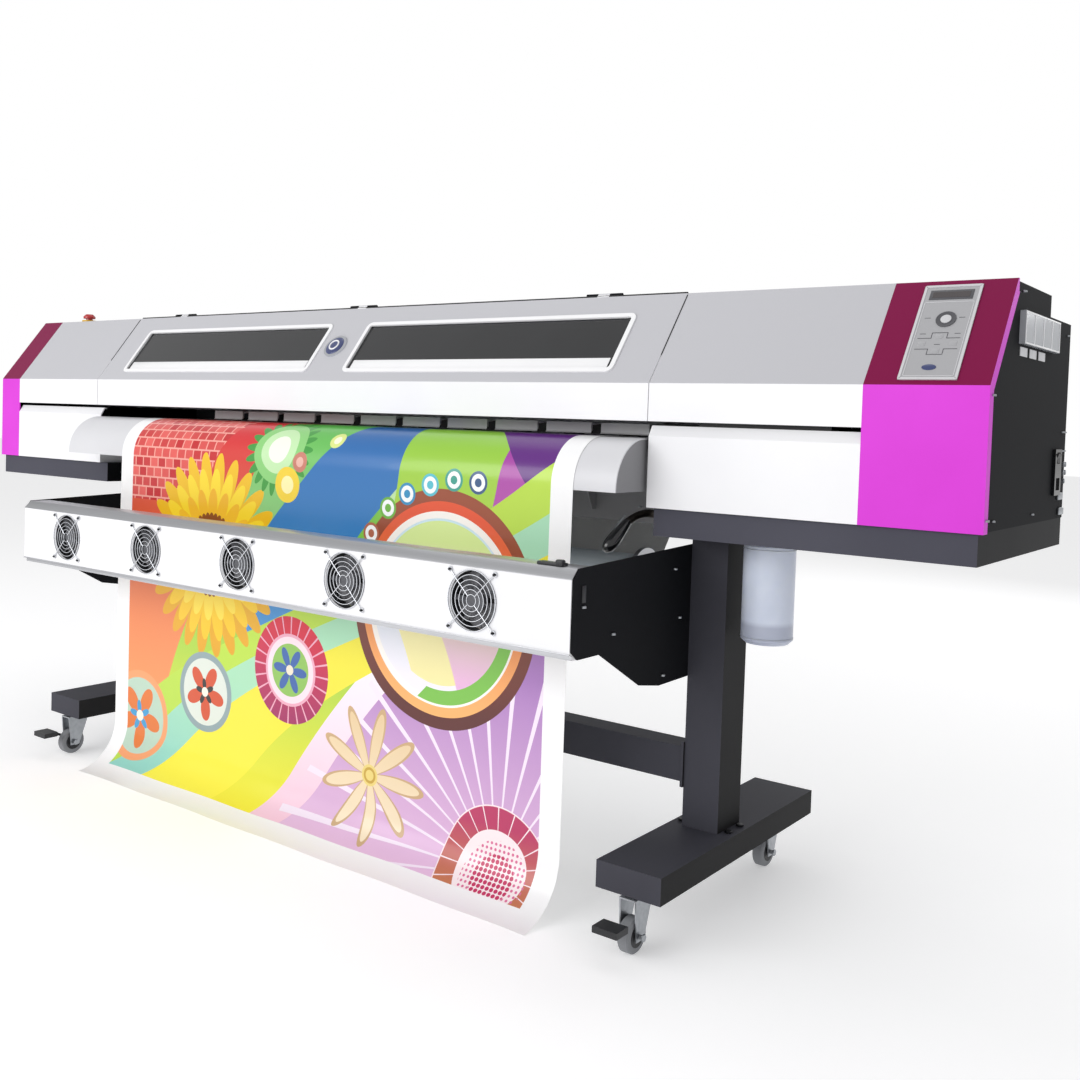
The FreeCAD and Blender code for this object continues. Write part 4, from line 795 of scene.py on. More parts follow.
# %% White borders, gloss and fine grain of the vinyl
BORDER = 0.052
inside = both(sweep((1, 0), BORDER, WEB_WIDTH - BORDER), sweep((0, 1), 0.0, 1.12))
page = add(art, "ShaderNodeMix", {"data_type": "RGBA"}, {"A": ink("F7F7F8")},
           {"Factor": inside, "B": field})
art.links.new(page.outputs["Result"], art_surface.inputs["Base Color"])
grain = add(art, "ShaderNodeTexNoise", values={"Scale": 700.0, "Detail": 2.0},
            links={"Vector": place_uv})
buckle = add(art, "ShaderNodeTexNoise", values={"Scale": 3.0, "Detail": 2.0},
             links={"Vector": place_uv})
rise = add(art, "ShaderNodeMath", {"operation": "MULTIPLY_ADD"}, {1: 14.0},
           {0: buckle.outputs["Fac"], 2: grain.outputs["Fac"]})
vinyl_bump = add(art, "ShaderNodeBump", values={"Strength": 0.3, "Distance": 0.0003},
                 links={"Height": rise.outputs[0]})
art.links.new(vinyl_bump.outputs["Normal"], art_surface.inputs["Normal"])
sheen = add(art, "ShaderNodeMapRange", values={"To Min": 0.26, "To Max": 0.36},
            links={"Value": buckle.outputs["Fac"]})
art.links.new(sheen.outputs["Result"], art_surface.inputs["Roughness"])
art_surface.inputs["Coat Weight"].default_value = 0.15
settle(web, "printed_web", print_sheet, "machine", smooth=40)
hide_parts("media_web")
print("printed web:", len(art.nodes), "nodes in its finish")

# %% [markdown]
# ## White back of the web
# Only the face of vinyl is printed; its back is a plain white liner. The sheet is one closed shell,
# so the liner is a second material on the shell that faces away and on the rim between the two.

# %% Liner faces
liner, tree, surface, spot = start("White_vinyl_liner")
fibres = add(tree, "ShaderNodeTexNoise", values={"Scale": 400.0, "Detail": 3.0},
             links={"Vector": spot})
liner_tint = add(tree, "ShaderNodeMix", {"data_type": "RGBA"},
                 {"A": ink("F4F4F2"), "B": ink("E9E9E6")}, {"Factor": fibres.outputs["Fac"]})
tree.links.new(liner_tint.outputs["Result"], surface.inputs["Base Color"])
tooth = add(tree, "ShaderNodeBump", values={"Strength": 0.2, "Distance": 0.0002},
            links={"Height": fibres.outputs["Fac"]})
tree.links.new(tooth.outputs["Normal"], surface.inputs["Normal"])
surface.inputs["Roughness"].default_value = 0.55
web.data.materials.append(liner)
faces_of_web = web.data.polygons
skin_faces = COLUMNS * (len(path) - 1)
# A face in the straight hanging part tells which of the two shells looks to the front.
in_hang = skin_faces - COLUMNS * (len(curl) + 20)
front_first = faces_of_web[in_hang].normal.y < 0
for face in faces_of_web:
    first_shell = face.index < skin_faces
    if face.index >= 2 * skin_faces or first_shell != front_first:
        face.material_index = 1
print("print on the first shell:", front_first)

# %% [markdown]
# ## The roll of blank vinyl
# The roll is the same vinyl, wound on a cardboard core. Its turns never lie perfectly even, so its
# skin has long shallow ridges and its ends show the edges of the turns as fine rings. Along the
# ridges the colour shifts from bluish white to a darker blue-grey, as painted shade.

# %% Roll and core
paper_skin, tree, surface, spot = start("Wound_vinyl_film")
turns = add(tree, "ShaderNodeTexNoise", values={"Scale": 1.0, "Detail": 4.0},
            links={"Vector": add(tree, "ShaderNodeMapping", values={"Scale": (1.5, 120, 120)},
                                 links={"Vector": spot}).outputs["Vector"]})
# Painted shade: the colour darkens with the ridges of the turns.
tint = add(tree, "ShaderNodeMix", {"data_type": "RGBA"}, {"A": ink("E6EEF2"), "B": ink("CFDDE4")},
           {"Factor": turns.outputs["Fac"]})
tree.links.new(tint.outputs["Result"], surface.inputs["Base Color"])
ridge = add(tree, "ShaderNodeBump", values={"Strength": 0.5, "Distance": 0.001},
            links={"Height": turns.outputs["Fac"]})
tree.links.new(ridge.outputs["Normal"], surface.inputs["Normal"])
surface.inputs["Roughness"].default_value = 0.3
lone()
bpy.ops.mesh.primitive_cylinder_add(
    vertices=96, radius=ROLL_RADIUS - 0.0008, depth=roll_high.x - roll_low.x, end_fill_type="NGON",
    location=((roll_low.x + roll_high.x) / 2, *ROLL_CENTRE), rotation=(0, math.pi / 2, 0))
roll = bpy.context.object
bpy.ops.object.mode_set(mode="EDIT")
CORE_HOLE = 0.0185
pick(roll, lambda centre, normal: abs(normal.z) > 0.9)
bpy.ops.mesh.inset(thickness=ROLL_RADIUS - CORE_HOLE - 0.004)
bpy.ops.mesh.inset(thickness=0.003, depth=-0.0015)
bpy.ops.mesh.select_all(action="SELECT")
bpy.ops.mesh.normals_make_consistent(inside=False)
bpy.ops.object.mode_set(mode="OBJECT")
settle(roll, "vinyl_roll", paper_skin, "supply_roll", smooth=40)
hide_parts("media_roll")
print("roll radius", round(ROLL_RADIUS, 4))

# %% [markdown]
# ## Waste bottle
# The bottle is blown polyethylene: milky, a little bluish, and darker where spent ink stands in
# it. The frame's bottle has the right body, so only its finish is made here, and a raised ring is
# added near its foot and its neck.

# %% Bottle finish
milk, tree, surface, spot = start("Blown_polyethylene")
bottle_low, bottle_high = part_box("waste_bottle")
height = add(tree, "ShaderNodeSeparateXYZ", links={"Vector": spot})
level_mark = add(tree, "ShaderNodeMapRange",
                 values={"From Min": bottle_low.z + 0.035, "From Max": bottle_low.z + 0.045},
                 links={"Value": height.outputs["Z"]})
cloud = add(tree, "ShaderNodeTexNoise", values={"Scale": 22.0, "Detail": 3.0},
            links={"Vector": spot})
body_tint = add(tree, "ShaderNodeMix", {"data_type": "RGBA"},
                {"A": ink("DCE2EF"), "B": ink("CBD3E4")}, {"Factor": cloud.outputs["Fac"]})
filled = add(tree, "ShaderNodeMix", {"data_type": "RGBA"}, {"A": ink("B4BACB")},
             {"Factor": level_mark.outputs["Result"], "B": body_tint.outputs["Result"]})
tree.links.new(filled.outputs["Result"], surface.inputs["Base Color"])
shell_bump = add(tree, "ShaderNodeBump", values={"Strength": 0.15, "Distance": 0.001},
                 links={"Height": cloud.outputs["Fac"]})
tree.links.new(shell_bump.outputs["Normal"], surface.inputs["Normal"])
surface.inputs["Roughness"].default_value = 0.32
surface.inputs["Subsurface Weight"].default_value = 0.4
surface.inputs["Subsurface Radius"].default_value = (0.02, 0.02, 0.025)
surface.inputs["Subsurface Scale"].default_value = 1.0
dress(milk, "waste_bottle")
print("bottle finish done")

# %% Raised rings on the bottle
bottle_x, bottle_y = (bottle_low.x + bottle_high.x) / 2, (bottle_low.y + bottle_high.y) / 2
ribs = []
for rib_height in (0.012, bottle_high.z - bottle_low.z - 0.018):
    lone()
    bpy.ops.mesh.primitive_torus_add(
        major_radius=0.0497, minor_radius=0.0013, major_segments=64, minor_segments=8,
        location=(bottle_x, bottle_y, bottle_low.z + rib_height))
    ribs.append(bpy.context.object)
settle(joined(ribs), "bottle_ribs", milk, "waste_bottle", smooth=60)
print("bottle ribs done")

# %% [markdown]
# ## Window rims
# Each window is a smoked pane behind a pressed opening whose edge is rolled over a white trim. The
# trim is a rectangular ring with rounded corners: a plate, inset by the trim's width and opened.

# %% White window trims
trim_white = moulded("White_moulded_trim", "F6F6F7", "EFEFF1", 0.3, 6.0, 0.05, Coat_Weight=0.2)


def slope_ring(x_low, x_high, up_low, up_high, width, thick, lift, corner):
    """A flat ring on the slope: a plate with rounded corners, inset and opened."""
    lone()
    bpy.ops.mesh.primitive_plane_add(size=1)
    ring_piece = bpy.context.object
    ring_piece.scale = (x_high - x_low, up_high - up_low, 1)
    bpy.ops.object.transform_apply(location=False, rotation=False, scale=True)
    bpy.ops.object.mode_set(mode="EDIT")
    bpy.ops.mesh.select_all(action="SELECT")
    bpy.ops.mesh.bevel(offset=corner, segments=5, affect="VERTICES")
    bpy.ops.mesh.select_all(action="SELECT")
    bpy.ops.mesh.inset(thickness=width)
    bpy.ops.mesh.delete(type="FACE")
    bpy.ops.mesh.select_all(action="SELECT")
    bpy.ops.mesh.extrude_region_move(TRANSFORM_OT_translate={"value": (0, 0, thick)})
    bpy.ops.mesh.select_all(action="SELECT")
    bpy.ops.mesh.normals_make_consistent(inside=False)
    bpy.ops.object.mode_set(mode="OBJECT")
    ring_piece.location = on_slope((x_low + x_high) / 2, (up_low + up_high) / 2, lift)
    ring_piece.rotation_euler = LEAN
    return ring_piece


pane_low, pane_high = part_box("lid_windows")
PANE_MARGIN, WINDOW_WIDTH = 0.010, 0.748
WINDOW_LOW, WINDOW_HIGH = 0.036, 0.174
TRIM_LAP, TRIM_WIDTH, TRIM_THICK, TRIM_SINK, TRIM_CORNER = 0.009, 0.010, 0.0035, -0.0005, 0.016
LEDGE_DEPTH, LEDGE_THICK = 0.026, 0.0012
window_starts = (pane_low.x + PANE_MARGIN, pane_high.x - PANE_MARGIN - WINDOW_WIDTH)
trims = [slope_ring(x - TRIM_LAP, x + WINDOW_WIDTH + TRIM_LAP, WINDOW_LOW - TRIM_LAP,
                    WINDOW_HIGH + TRIM_LAP, TRIM_WIDTH, TRIM_THICK, TRIM_SINK, TRIM_CORNER)
         for x in window_starts]
settle(joined(trims), "window_trims", trim_white, "lid", smooth=30)
ledges = [block((WINDOW_WIDTH - 0.02, LEDGE_DEPTH, LEDGE_THICK),
                on_slope(x + WINDOW_WIDTH / 2, WINDOW_LOW + 0.017, -0.0022), 0.0004, LEAN)
          for x in window_starts]
settle(joined(ledges), "window_ledges", trim_white, "lid", smooth=30)
print("window trims at", [round(x, 3) for x in window_starts])

# %% [markdown]
# ## Lid badge
# A domed disc between the windows, with a plain ring and a dished centre. It carries no mark.

# %% Domed disc
navy = moulded("Navy_enamel_dome", "2B3560", "3A4578", 0.18, 10.0, 0.03, Coat_Weight=0.6)
BADGE = on_slope(-0.063, 0.108, 0.0015)
rim_disc = disc(0.033, 0.004, BADGE, LEAN, 48, rim=0.004, dish=-0.0006)
settle(rim_disc, "badge_rim", chrome, "lid", smooth=40)
lone()
bpy.ops.mesh.primitive_uv_sphere_add(segments=40, ring_count=20, radius=0.027, location=(0, 0, 0))
dome = bpy.context.object
dome.scale = (1, 1, 0.14)
bpy.ops.object.transform_apply(location=False, rotation=False, scale=True)
bpy.ops.object.mode_set(mode="EDIT")
bpy.ops.mesh.select_all(action="SELECT")
bpy.ops.mesh.bisect(plane_co=(0, 0, 0), plane_no=(0, 0, 1), clear_inner=True, use_fill=True)
bpy.ops.object.mode_set(mode="OBJECT")
dome.location = BADGE + out_of_slope * 0.0026
dome.rotation_euler = LEAN
settle(dome, "badge_dome", navy, "lid", smooth=40)
lone()
bpy.ops.mesh.primitive_torus_add(major_radius=0.0135, minor_radius=0.0022, major_segments=40,
                                 minor_segments=10, location=BADGE + out_of_slope * 0.0058,
                                 rotation=LEAN)
settle(bpy.context.object, "badge_ring", trim_white, "lid", smooth=40)
print("badge at", [round(v, 3) for v in BADGE])

# %% [markdown]
# ## Control panel
# The panel is a membrane overlay: a printed polyester film over dome switches, in a thin pressed
# frame, with a small display under its own window. Keys show as shallow embossed pads.

# %% Membrane film
film, tree, surface, spot = start("Silver_membrane_film")
satin = add(tree, "ShaderNodeTexNoise", values={"Scale": 900.0, "Detail": 2.0},
            links={"Vector": spot})
cast = add(tree, "ShaderNodeMix", {"data_type": "RGBA"}, {"A": ink("A9A9AC"), "B": ink("B5B5B8")},
           {"Factor": satin.outputs["Fac"]})
tree.links.new(cast.outputs["Result"], surface.inputs["Base Color"])
film_bump = add(tree, "ShaderNodeBump", values={"Strength": 0.15, "Distance": 0.0001},
                links={"Height": satin.outputs["Fac"]})
tree.links.new(film_bump.outputs["Normal"], surface.inputs["Normal"])
surface.inputs["Roughness"].default_value = 0.38
surface.inputs["Metallic"].default_value = 0.25
dress(film, "control_panel")
print("membrane film done")

# %% Frame and display
dark_ink = moulded("Dark_grey_print", "4A4A4E", "55555A", 0.4, 4.0, 0.03)
pale_ink = moulded("Pale_grey_print", "D3D3D6", "C9C9CC", 0.35, 4.0, 0.03)
display = moulded("Display_window", "3E3A3C", "463F40", 0.12, 12.0, 0.02, Coat_Weight=0.7)
panel_low, panel_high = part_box("control_panel")
PANEL_X = (panel_low.x + panel_high.x) / 2
PANEL_LIFT = 0.0021


def slope_bar(x, up, width, length, thick=0.0006, round_to=0.0002, lift=PANEL_LIFT):
    """A flat bar lying on the slope."""
    return block((width, length, thick), on_slope(x, up, lift), round_to, LEAN)


settle(slope_ring(panel_low.x, panel_high.x, 0.010, 0.222, 0.0045, 0.0016, 0.0012, 0.003),
       "panel_frame", pale_ink, "machine", smooth=30)
settle(slope_ring(panel_low.x + 0.007, panel_high.x - 0.007, 0.017, 0.183, 0.0012, 0.0006,
                  PANEL_LIFT - 0.0002, 0.003), "panel_border", pale_ink, "machine")
settle(slope_bar(PANEL_X, 0.199, 0.074, 0.022, 0.0016, 0.0006), "display_bezel", dark_ink,
       "machine", smooth=30)
settle(slope_bar(PANEL_X, 0.199, 0.064, 0.013, 0.0012, 0.0003, PANEL_LIFT + 0.0006),
       "display_glass", display, "machine")
print("panel centre", round(PANEL_X, 3))

# %% Round key
DIAL = on_slope(PANEL_X + 0.003, 0.142, PANEL_LIFT)
settle(disc(0.017, 0.0030, DIAL, LEAN, 40, rim=0.0035, dish=0.0008), "round_key", dark_ink,
       "machine", smooth=40)
settle(disc(0.009, 0.0026, DIAL + out_of_slope * 0.0006, LEAN, 32, rim=0.002,
            dish=-0.0004), "round_key_cap", pale_ink, "machine", smooth=40)
print("round key at", [round(v, 3) for v in DIAL])

# %% Outlines of the cross keys
CROSS_UP, LINE = 0.088, 0.0012
cross_lines = []
for x, up, width, length in (
        (0, 0.024, 0.026, LINE), (0, -0.024, 0.026, LINE),
        (-0.013, 0.018, LINE, 0.013), (0.013, 0.018, LINE, 0.013),
        (-0.013, -0.018, LINE, 0.013), (0.013, -0.018, LINE, 0.013),
        (-0.024, 0.012, 0.023, LINE), (0.024, 0.012, 0.023, LINE),
        (-0.024, -0.012, 0.023, LINE), (0.024, -0.012, 0.023, LINE)):
    cross_lines.append(slope_bar(PANEL_X + x, CROSS_UP + up, width, length))
for x, up in ((-0.034, 0.060), (0.034, 0.060), (-0.034, 0.024), (0.034, 0.024), (0, 0.0)):
    cross_lines.append(slope_bar(PANEL_X + x * 0.85, CROSS_UP + up - 0.002, 0.010, 0.0010))
settle(joined(cross_lines), "key_outlines", dark_ink, "machine")
print("lines and marks:", len(cross_lines))

# %% Key pads and lamp
pads = [slope_bar(PANEL_X + x, CROSS_UP + up, 0.013, 0.010, 0.0012, 0.0005, PANEL_LIFT - 0.0002)
        for x, up in ((0, 0.016), (0, -0.016), (-0.026, 0), (0.026, 0))]
settle(joined(pads), "key_pads", film, "machine", smooth=30)
lamp_disc = disc(0.008, 0.0016, on_slope(PANEL_X - 0.002, 0.036, PANEL_LIFT), LEAN,
                 32, rim=0.0015, dish=-0.0003)
lamp_disc.scale = (1.5, 0.75, 1)
settle(lamp_disc, "panel_lamp", navy, "machine", smooth=40)
print("key pads:", len(pads))

# %% [markdown]
# ## Dryer bar: trims, fan guards and screws
# The bar is a painted channel with bright aluminium edges. Each of its five fans sits behind a
# chromed wire guard: rings welded to four straight wires that end in eyes under the corner screws.
# One guard is modelled and copied along the bar.

# %% Aluminium edges of the bar
bar_low, bar_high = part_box("dryer_bar")
BAR_X = (bar_low.x + bar_high.x) / 2
BAR_LENGTH = bar_high.x - bar_low.x
CHAMFER = 0.016
edge = block((BAR_LENGTH + 0.002, CHAMFER * 1.5, 0.0016),
             (BAR_X, bar_low.y + CHAMFER / 2 - 0.0004, bar_high.z - CHAMFER / 2 + 0.0006), 0.0005,
             (math.pi / 4, 0, 0))
crown = block((BAR_LENGTH + 0.002, 0.052, 0.0014), (BAR_X, bar_low.y + CHAMFER + 0.026,
                                                    bar_high.z + 0.0008), 0.0005)
foot = block((BAR_LENGTH + 0.002, 0.0014, 0.0085), (BAR_X, bar_low.y + 0.0073,
                                                    bar_low.z + 0.0048), 0.0004)
step = block((BAR_LENGTH + 0.002, 0.0030, 0.0022), (BAR_X, bar_low.y - 0.0006,
                                                    bar_low.z + 0.0112), 0.0006)
settle(joined([edge, crown, foot, step]), "bar_edges", aluminium, "machine", 30)
print("bar length", round(BAR_LENGTH, 3))

# %% One wire guard, copied to every fan
rotor_boxes = [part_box("fan_rotor_%d" % i) for i in range(1, 6)]
fan_xs = [(low.x + high.x) / 2 for low, high in rotor_boxes]
FAN_Z = (rotor_boxes[0][0].z + rotor_boxes[0][1].z) / 2
GUARD_Y = bar_low.y - 0.0022
WIRE = 0.0011
SCREW_PITCH = 0.105
GUARD_RINGS = (0.011, 0.020, 0.029, 0.038, 0.047, 0.056)
EYE_RADIUS = 0.0042


def wire_ring(radius, place, turn):
    """One ring of guard wire."""
    lone()
    bpy.ops.mesh.primitive_torus_add(major_radius=radius, minor_radius=WIRE, major_segments=44,
                                     minor_segments=6, location=place, rotation=turn)
    return bpy.context.object


guard = [wire_ring(radius, (fan_xs[0], GUARD_Y, FAN_Z), (math.pi / 2, 0, 0))
         for radius in GUARD_RINGS]
for quarter in range(4):
    slant = math.pi / 4 + quarter * math.pi / 2
    reach_out = SCREW_PITCH / math.sqrt(2)
    middle = (GUARD_RINGS[0] + reach_out - 0.004) / 2
    lone()
    bpy.ops.mesh.primitive_cylinder_add(
        vertices=8, radius=WIRE * 1.15, depth=reach_out - 0.015,
        location=(fan_xs[0] + middle * math.cos(slant), GUARD_Y - 0.0008,
                  FAN_Z + middle * math.sin(slant)),
        rotation=(0, math.pi / 2 - slant, 0))
    guard.append(bpy.context.object)
    guard.append(wire_ring(EYE_RADIUS, (fan_xs[0] + reach_out * math.cos(slant), GUARD_Y,
                                        FAN_Z + reach_out * math.sin(slant)), (math.pi / 2, 0, 0)))
guards = copies(joined(guard), [Vector((x - fan_xs[0], 0, 0)) for x in fan_xs])
settle(guards, "fan_guards", chrome, "machine", smooth=60)
print("guards at", [round(x, 3) for x in fan_xs])

# %% [markdown]
# ## Screws
# Pan-head screws with a cross recess hold the guards, brackets, flanges and covers. The head is a
# short cylinder whose edge is rounded. Its recess is too small to show its depth, so its shade is
# painted: two thin dark bars let into the top. One head is modelled and copied to its places.

# %% A pan-head screw
black_zinc = metal("Black_zinc_screw", "3A3A3D", "26262A", 0.4, 3.0, (1, 1, 1), 0.2)


def screw_set(name, places, turn, body, radius=0.004, material=None):
    """Pan heads at several places, all facing the way that turn points them."""
    lone()
    bpy.ops.mesh.primitive_cylinder_add(vertices=20, radius=radius, depth=radius * 0.8)
    head = bpy.context.object
    bpy.ops.object.mode_set(mode="EDIT")
    pick(head, lambda centre, normal: normal.z > 0.9)
    bpy.ops.mesh.bevel(offset=radius * 0.3, segments=3, affect="EDGES")
    bpy.ops.object.mode_set(mode="OBJECT")
    # Painted shade: the cross recess is two dark bars on the head.
    recess_shade_bars = joined([block((radius * 1.2, radius * 0.28, radius * 0.12), (0, 0, radius * 0.38),
                           radius * 0.04, (0, 0, angle)) for angle in (0, math.pi / 2)])
    dress(black_abs, recess_shade_bars)
    dress(material or zinc, head)
    head = joined([head, recess_shade_bars])
    head.rotation_euler = turn
    return settle(copies(head, [Vector(p) for p in places]), name, None, body, smooth=30)


print("screws can be made")

# %% Screws on the guards and end bands
FACING_FRONT = (math.pi / 2, 0, 0)
FACING_RIGHT = (0, math.pi / 2, 0)
FACING_LEFT = (0, -math.pi / 2, 0)
FACING_BACK = (-math.pi / 2, 0, 0)
FACING_UP = (0, 0, 0)
half_pitch = SCREW_PITCH / 2
screw_set("guard_screws", [(x + i * half_pitch, GUARD_Y - 0.0012, FAN_Z + j * half_pitch)
                           for x in fan_xs for i in (-1, 1) for j in (-1, 1)],
          FACING_FRONT, "machine", 0.0035, black_zinc)
flange_spots = ((0.030, 1.205), (-0.129, 1.022), (-0.135, 0.820))
screw_set("right_flange_screws", [(RIGHT_END_X + 0.001, y, z) for y, z in flange_spots],
          FACING_RIGHT, "machine", 0.0045)
screw_set("left_flange_screws", [(LEFT_END_X - 0.001, y, z) for y, z in flange_spots],
          FACING_LEFT, "machine", 0.0045)
print("flange screws a side:", len(flange_spots))

# %% Screws on the brackets and apron
bracket_low, bracket_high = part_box("dryer_brackets")
bracket_spots = ((-0.413, 0.640), (-0.316, 0.581), (-0.076, 0.583), (-0.134, 0.478), (-0.10, 0.68))
screw_set("right_bracket_screws", [(bracket_high.x + 0.001, y, z) for y, z in bracket_spots],
          FACING_RIGHT, "machine", 0.005)
screw_set("left_bracket_screws", [(bracket_low.x - 0.001, y, z) for y, z in bracket_spots],
          FACING_LEFT, "machine", 0.005)
APRON_FACE_Y, APRON_SCREW_Z = -0.046, 0.790
apron_spots = (-0.85, -0.45, 0, 0.35, 0.62, 0.80)
screw_set("apron_screws", [(x, APRON_FACE_Y - 0.001, APRON_SCREW_Z) for x in apron_spots],
          FACING_FRONT, "machine", 0.004)
print("bracket and apron screws placed")

# %% Bracket slots as black plates of painted shade, and the clip on the bar
slot_shade_plates = [block((0.002, 0.012, 0.030), (x + side * 0.0008, -0.413, 0.662), 0.0008)
         for x, side in ((bracket_high.x, 1), (bracket_low.x, -1))]
settle(joined(slot_shade_plates), "bracket_slot_shade_plates", black_abs, "machine", smooth=30)
clip_base = block((0.055, 0.020, 0.006), (0.853, -0.420, bar_high.z + 0.0045), 0.002)
clip_nose = block((0.016, 0.012, 0.012), (0.873, -0.424, bar_high.z + 0.0075), 0.003)
settle(joined([clip_base, clip_nose]), "bar_clip", black_abs, "machine", 30)
print("bracket plates and clip done")

# %% [markdown]
# ## Behind the fans
# A pad of grey filter foam stands behind each rotor, so nothing shows through the openings but a
# fine open mesh. Each pad is a thick disc whose face is domed a little and pitted by its finish,
# with painted shade darkening each pit.

# %% Filter foam
foam, tree, surface, spot = start("Grey_filter_foam")
cells_of_foam = add(tree, "ShaderNodeTexVoronoi", values={"Scale": 500.0}, links={"Vector": spot})
# Painted shade: the colour darkens into each pit of the foam.
foam_tint_with_pit_shade = add(tree, "ShaderNodeMix", {"data_type": "RGBA"},
                {"A": ink("77777B"), "B": ink("A9A9AD")},
                {"Factor": cells_of_foam.outputs["Distance"]})
tree.links.new(foam_tint_with_pit_shade.outputs["Result"], surface.inputs["Base Color"])
pits = add(tree, "ShaderNodeBump", values={"Strength": 0.8, "Distance": 0.001},
           links={"Height": cells_of_foam.outputs["Distance"]})
tree.links.new(pits.outputs["Normal"], surface.inputs["Normal"])
surface.inputs["Roughness"].default_value = 0.9
print("foam done")

# %% Filter pads
PAD_RADIUS, PAD_Y = 0.0548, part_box("fan_frames")[1].y + 0.0025
pad = disc(PAD_RADIUS, 0.004, (fan_xs[0], PAD_Y, FAN_Z), FACING_FRONT, 48, rim=0.006,
           dish=-0.0015)
settle(copies(pad, [Vector((x - fan_xs[0], 0, 0)) for x in fan_xs]), "filter_pads", foam,
       "machine", smooth=40)
fan_grey = moulded("Dark_grey_fan_moulding", "6E6F74", "5C5D62", 0.45, 3.0, 0.2)
dress(fan_grey, *["fan_rotor_%d" % i for i in range(1, 6)])
print("filter pads done")

# %% [markdown]
# ## Seams, tabs and stop collar
# A rubber seal runs along the back edge of the lid, and one fills the seam at each of its ends; these
# two stay on the machine when the lid opens. The pinch arms end in white
# hold-down tabs: short bent strips on the lip of each arm, clear of the carriage and its knife. A
# dust strip hangs across the inlet at the back, so no daylight shows between the tabs.

# %% Lid seals
black_seal = moulded("Black_EPDM_seal", "0C0C0D", "151516", 0.6, 1.5, 0.3)
seal_top = block((lid_high.x - lid_low.x - 0.004, 0.0045, 0.0034),
                 ((lid_low.x + lid_high.x) / 2, -0.0012, TOP_Z + 0.0015), 0.001)
settle(seal_top, "lid_top_seal", black_seal, "lid", smooth=40)
seams = [slope_bar(x, 0.150, 0.0022, 0.158, 0.0030, 0.0006, -0.0004)
         for x in (lid_low.x - 0.0012, lid_high.x + 0.0012)]
settle(joined(seams), "lid_end_seals", black_seal, "machine", smooth=40)
print("seals done")


# %% Hold-down tabs on the pinch arms
def bent_strip(profile, x_low, x_high, thick):
    """A strip of sheet bent along the points of a profile, each (y, z)."""
    lone()
    bpy.ops.mesh.primitive_plane_add(size=1)
    strip = bpy.context.object
    corners = [(x_low, *profile[0]), (x_high, *profile[0]), (x_low, *profile[1]),
               (x_high, *profile[1])]
    for vertex, corner_place in zip(strip.data.vertices, corners):
        vertex.co = corner_place
    strip.data.update()
    bpy.ops.object.mode_set(mode="EDIT")
    mesh = bmesh.from_edit_mesh(strip.data)
    bpy.ops.mesh.select_mode(type="EDGE")
    bpy.ops.mesh.select_all(action="DESELECT")
    for line in mesh.edges:
        line.select_set(all(abs(v.co.y - profile[1][0]) < 1e-7 and abs(v.co.z - profile[1][1]) < 1e-7
                            for v in line.verts))
    bmesh.update_edit_mesh(strip.data)
    for before, after in zip(profile[1:], profile[2:]):
        bpy.ops.mesh.extrude_region_move(TRANSFORM_OT_translate={
            "value": (0, after[0] - before[0], after[1] - before[1])})
    bpy.ops.mesh.select_mode(type="FACE")
    bpy.ops.mesh.select_all(action="SELECT")
    bpy.ops.mesh.normals_make_consistent(inside=False)
    bpy.ops.object.mode_set(mode="OBJECT")
    wall = strip.modifiers.new("Wall", "SOLIDIFY")
    wall.thickness = thick
    wall.offset = 0
    bpy.ops.object.modifier_apply(modifier="Wall")
    return strip


PINCH_FIRST_X, PINCH_PITCH, PINCHES = -0.541, 0.1425, 10
TAB_WIDTH = 0.118
# The carriage prints and cuts from 30 mm in front of the frame's middle plane forwards, so the tabs
# end before that.
tab = bent_strip([(-0.0160, 0.9580), (-0.0212, 0.9575), (-0.0216, 0.9375), (-0.0245, 0.9356)],
                 PINCH_FIRST_X - TAB_WIDTH / 2, PINCH_FIRST_X + TAB_WIDTH / 2, 0.0010)
tabs = copies(tab, [Vector((i * PINCH_PITCH, 0, 0)) for i in range(PINCHES)])
settle(tabs, "hold_down_tabs", trim_white, "pinch_arms", smooth=30)
print("tabs:", PINCHES)

# %% Dust strip at the rear inlet
dust_strip = bent_strip([(0.4415, 1.0160), (0.4405, 0.9500), (0.4385, 0.8680)], -0.955, 0.863,
                        0.0015)
settle(dust_strip, "rear_dust_strip", black_seal, "machine", smooth=40)
print("dust strip done")

# %% Stop collar
stop_low, stop_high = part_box("estop_head")
STOP_X, STOP_Y = (stop_low.x + stop_high.x) / 2, (stop_low.y + stop_high.y) / 2
collar = disc(0.0215, 0.006, (STOP_X, STOP_Y, TOP_Z + 0.003), FACING_UP, 40, rim=0.0095, dish=0.002)
settle(collar, "stop_collar", stop_yellow, "machine", smooth=40)
print("stop at", round(STOP_X, 3), round(STOP_Y, 3))

# %% [markdown]
# ## Pinch lever
# The lever that lifts the pinch rollers is a bent steel bar with a fat moulded grip, and a bright
# zinc strip along the grip is a painted highlight. Each is a curve with a round section, swept along
# a few points, and the grip's is thicker where the hand holds it.


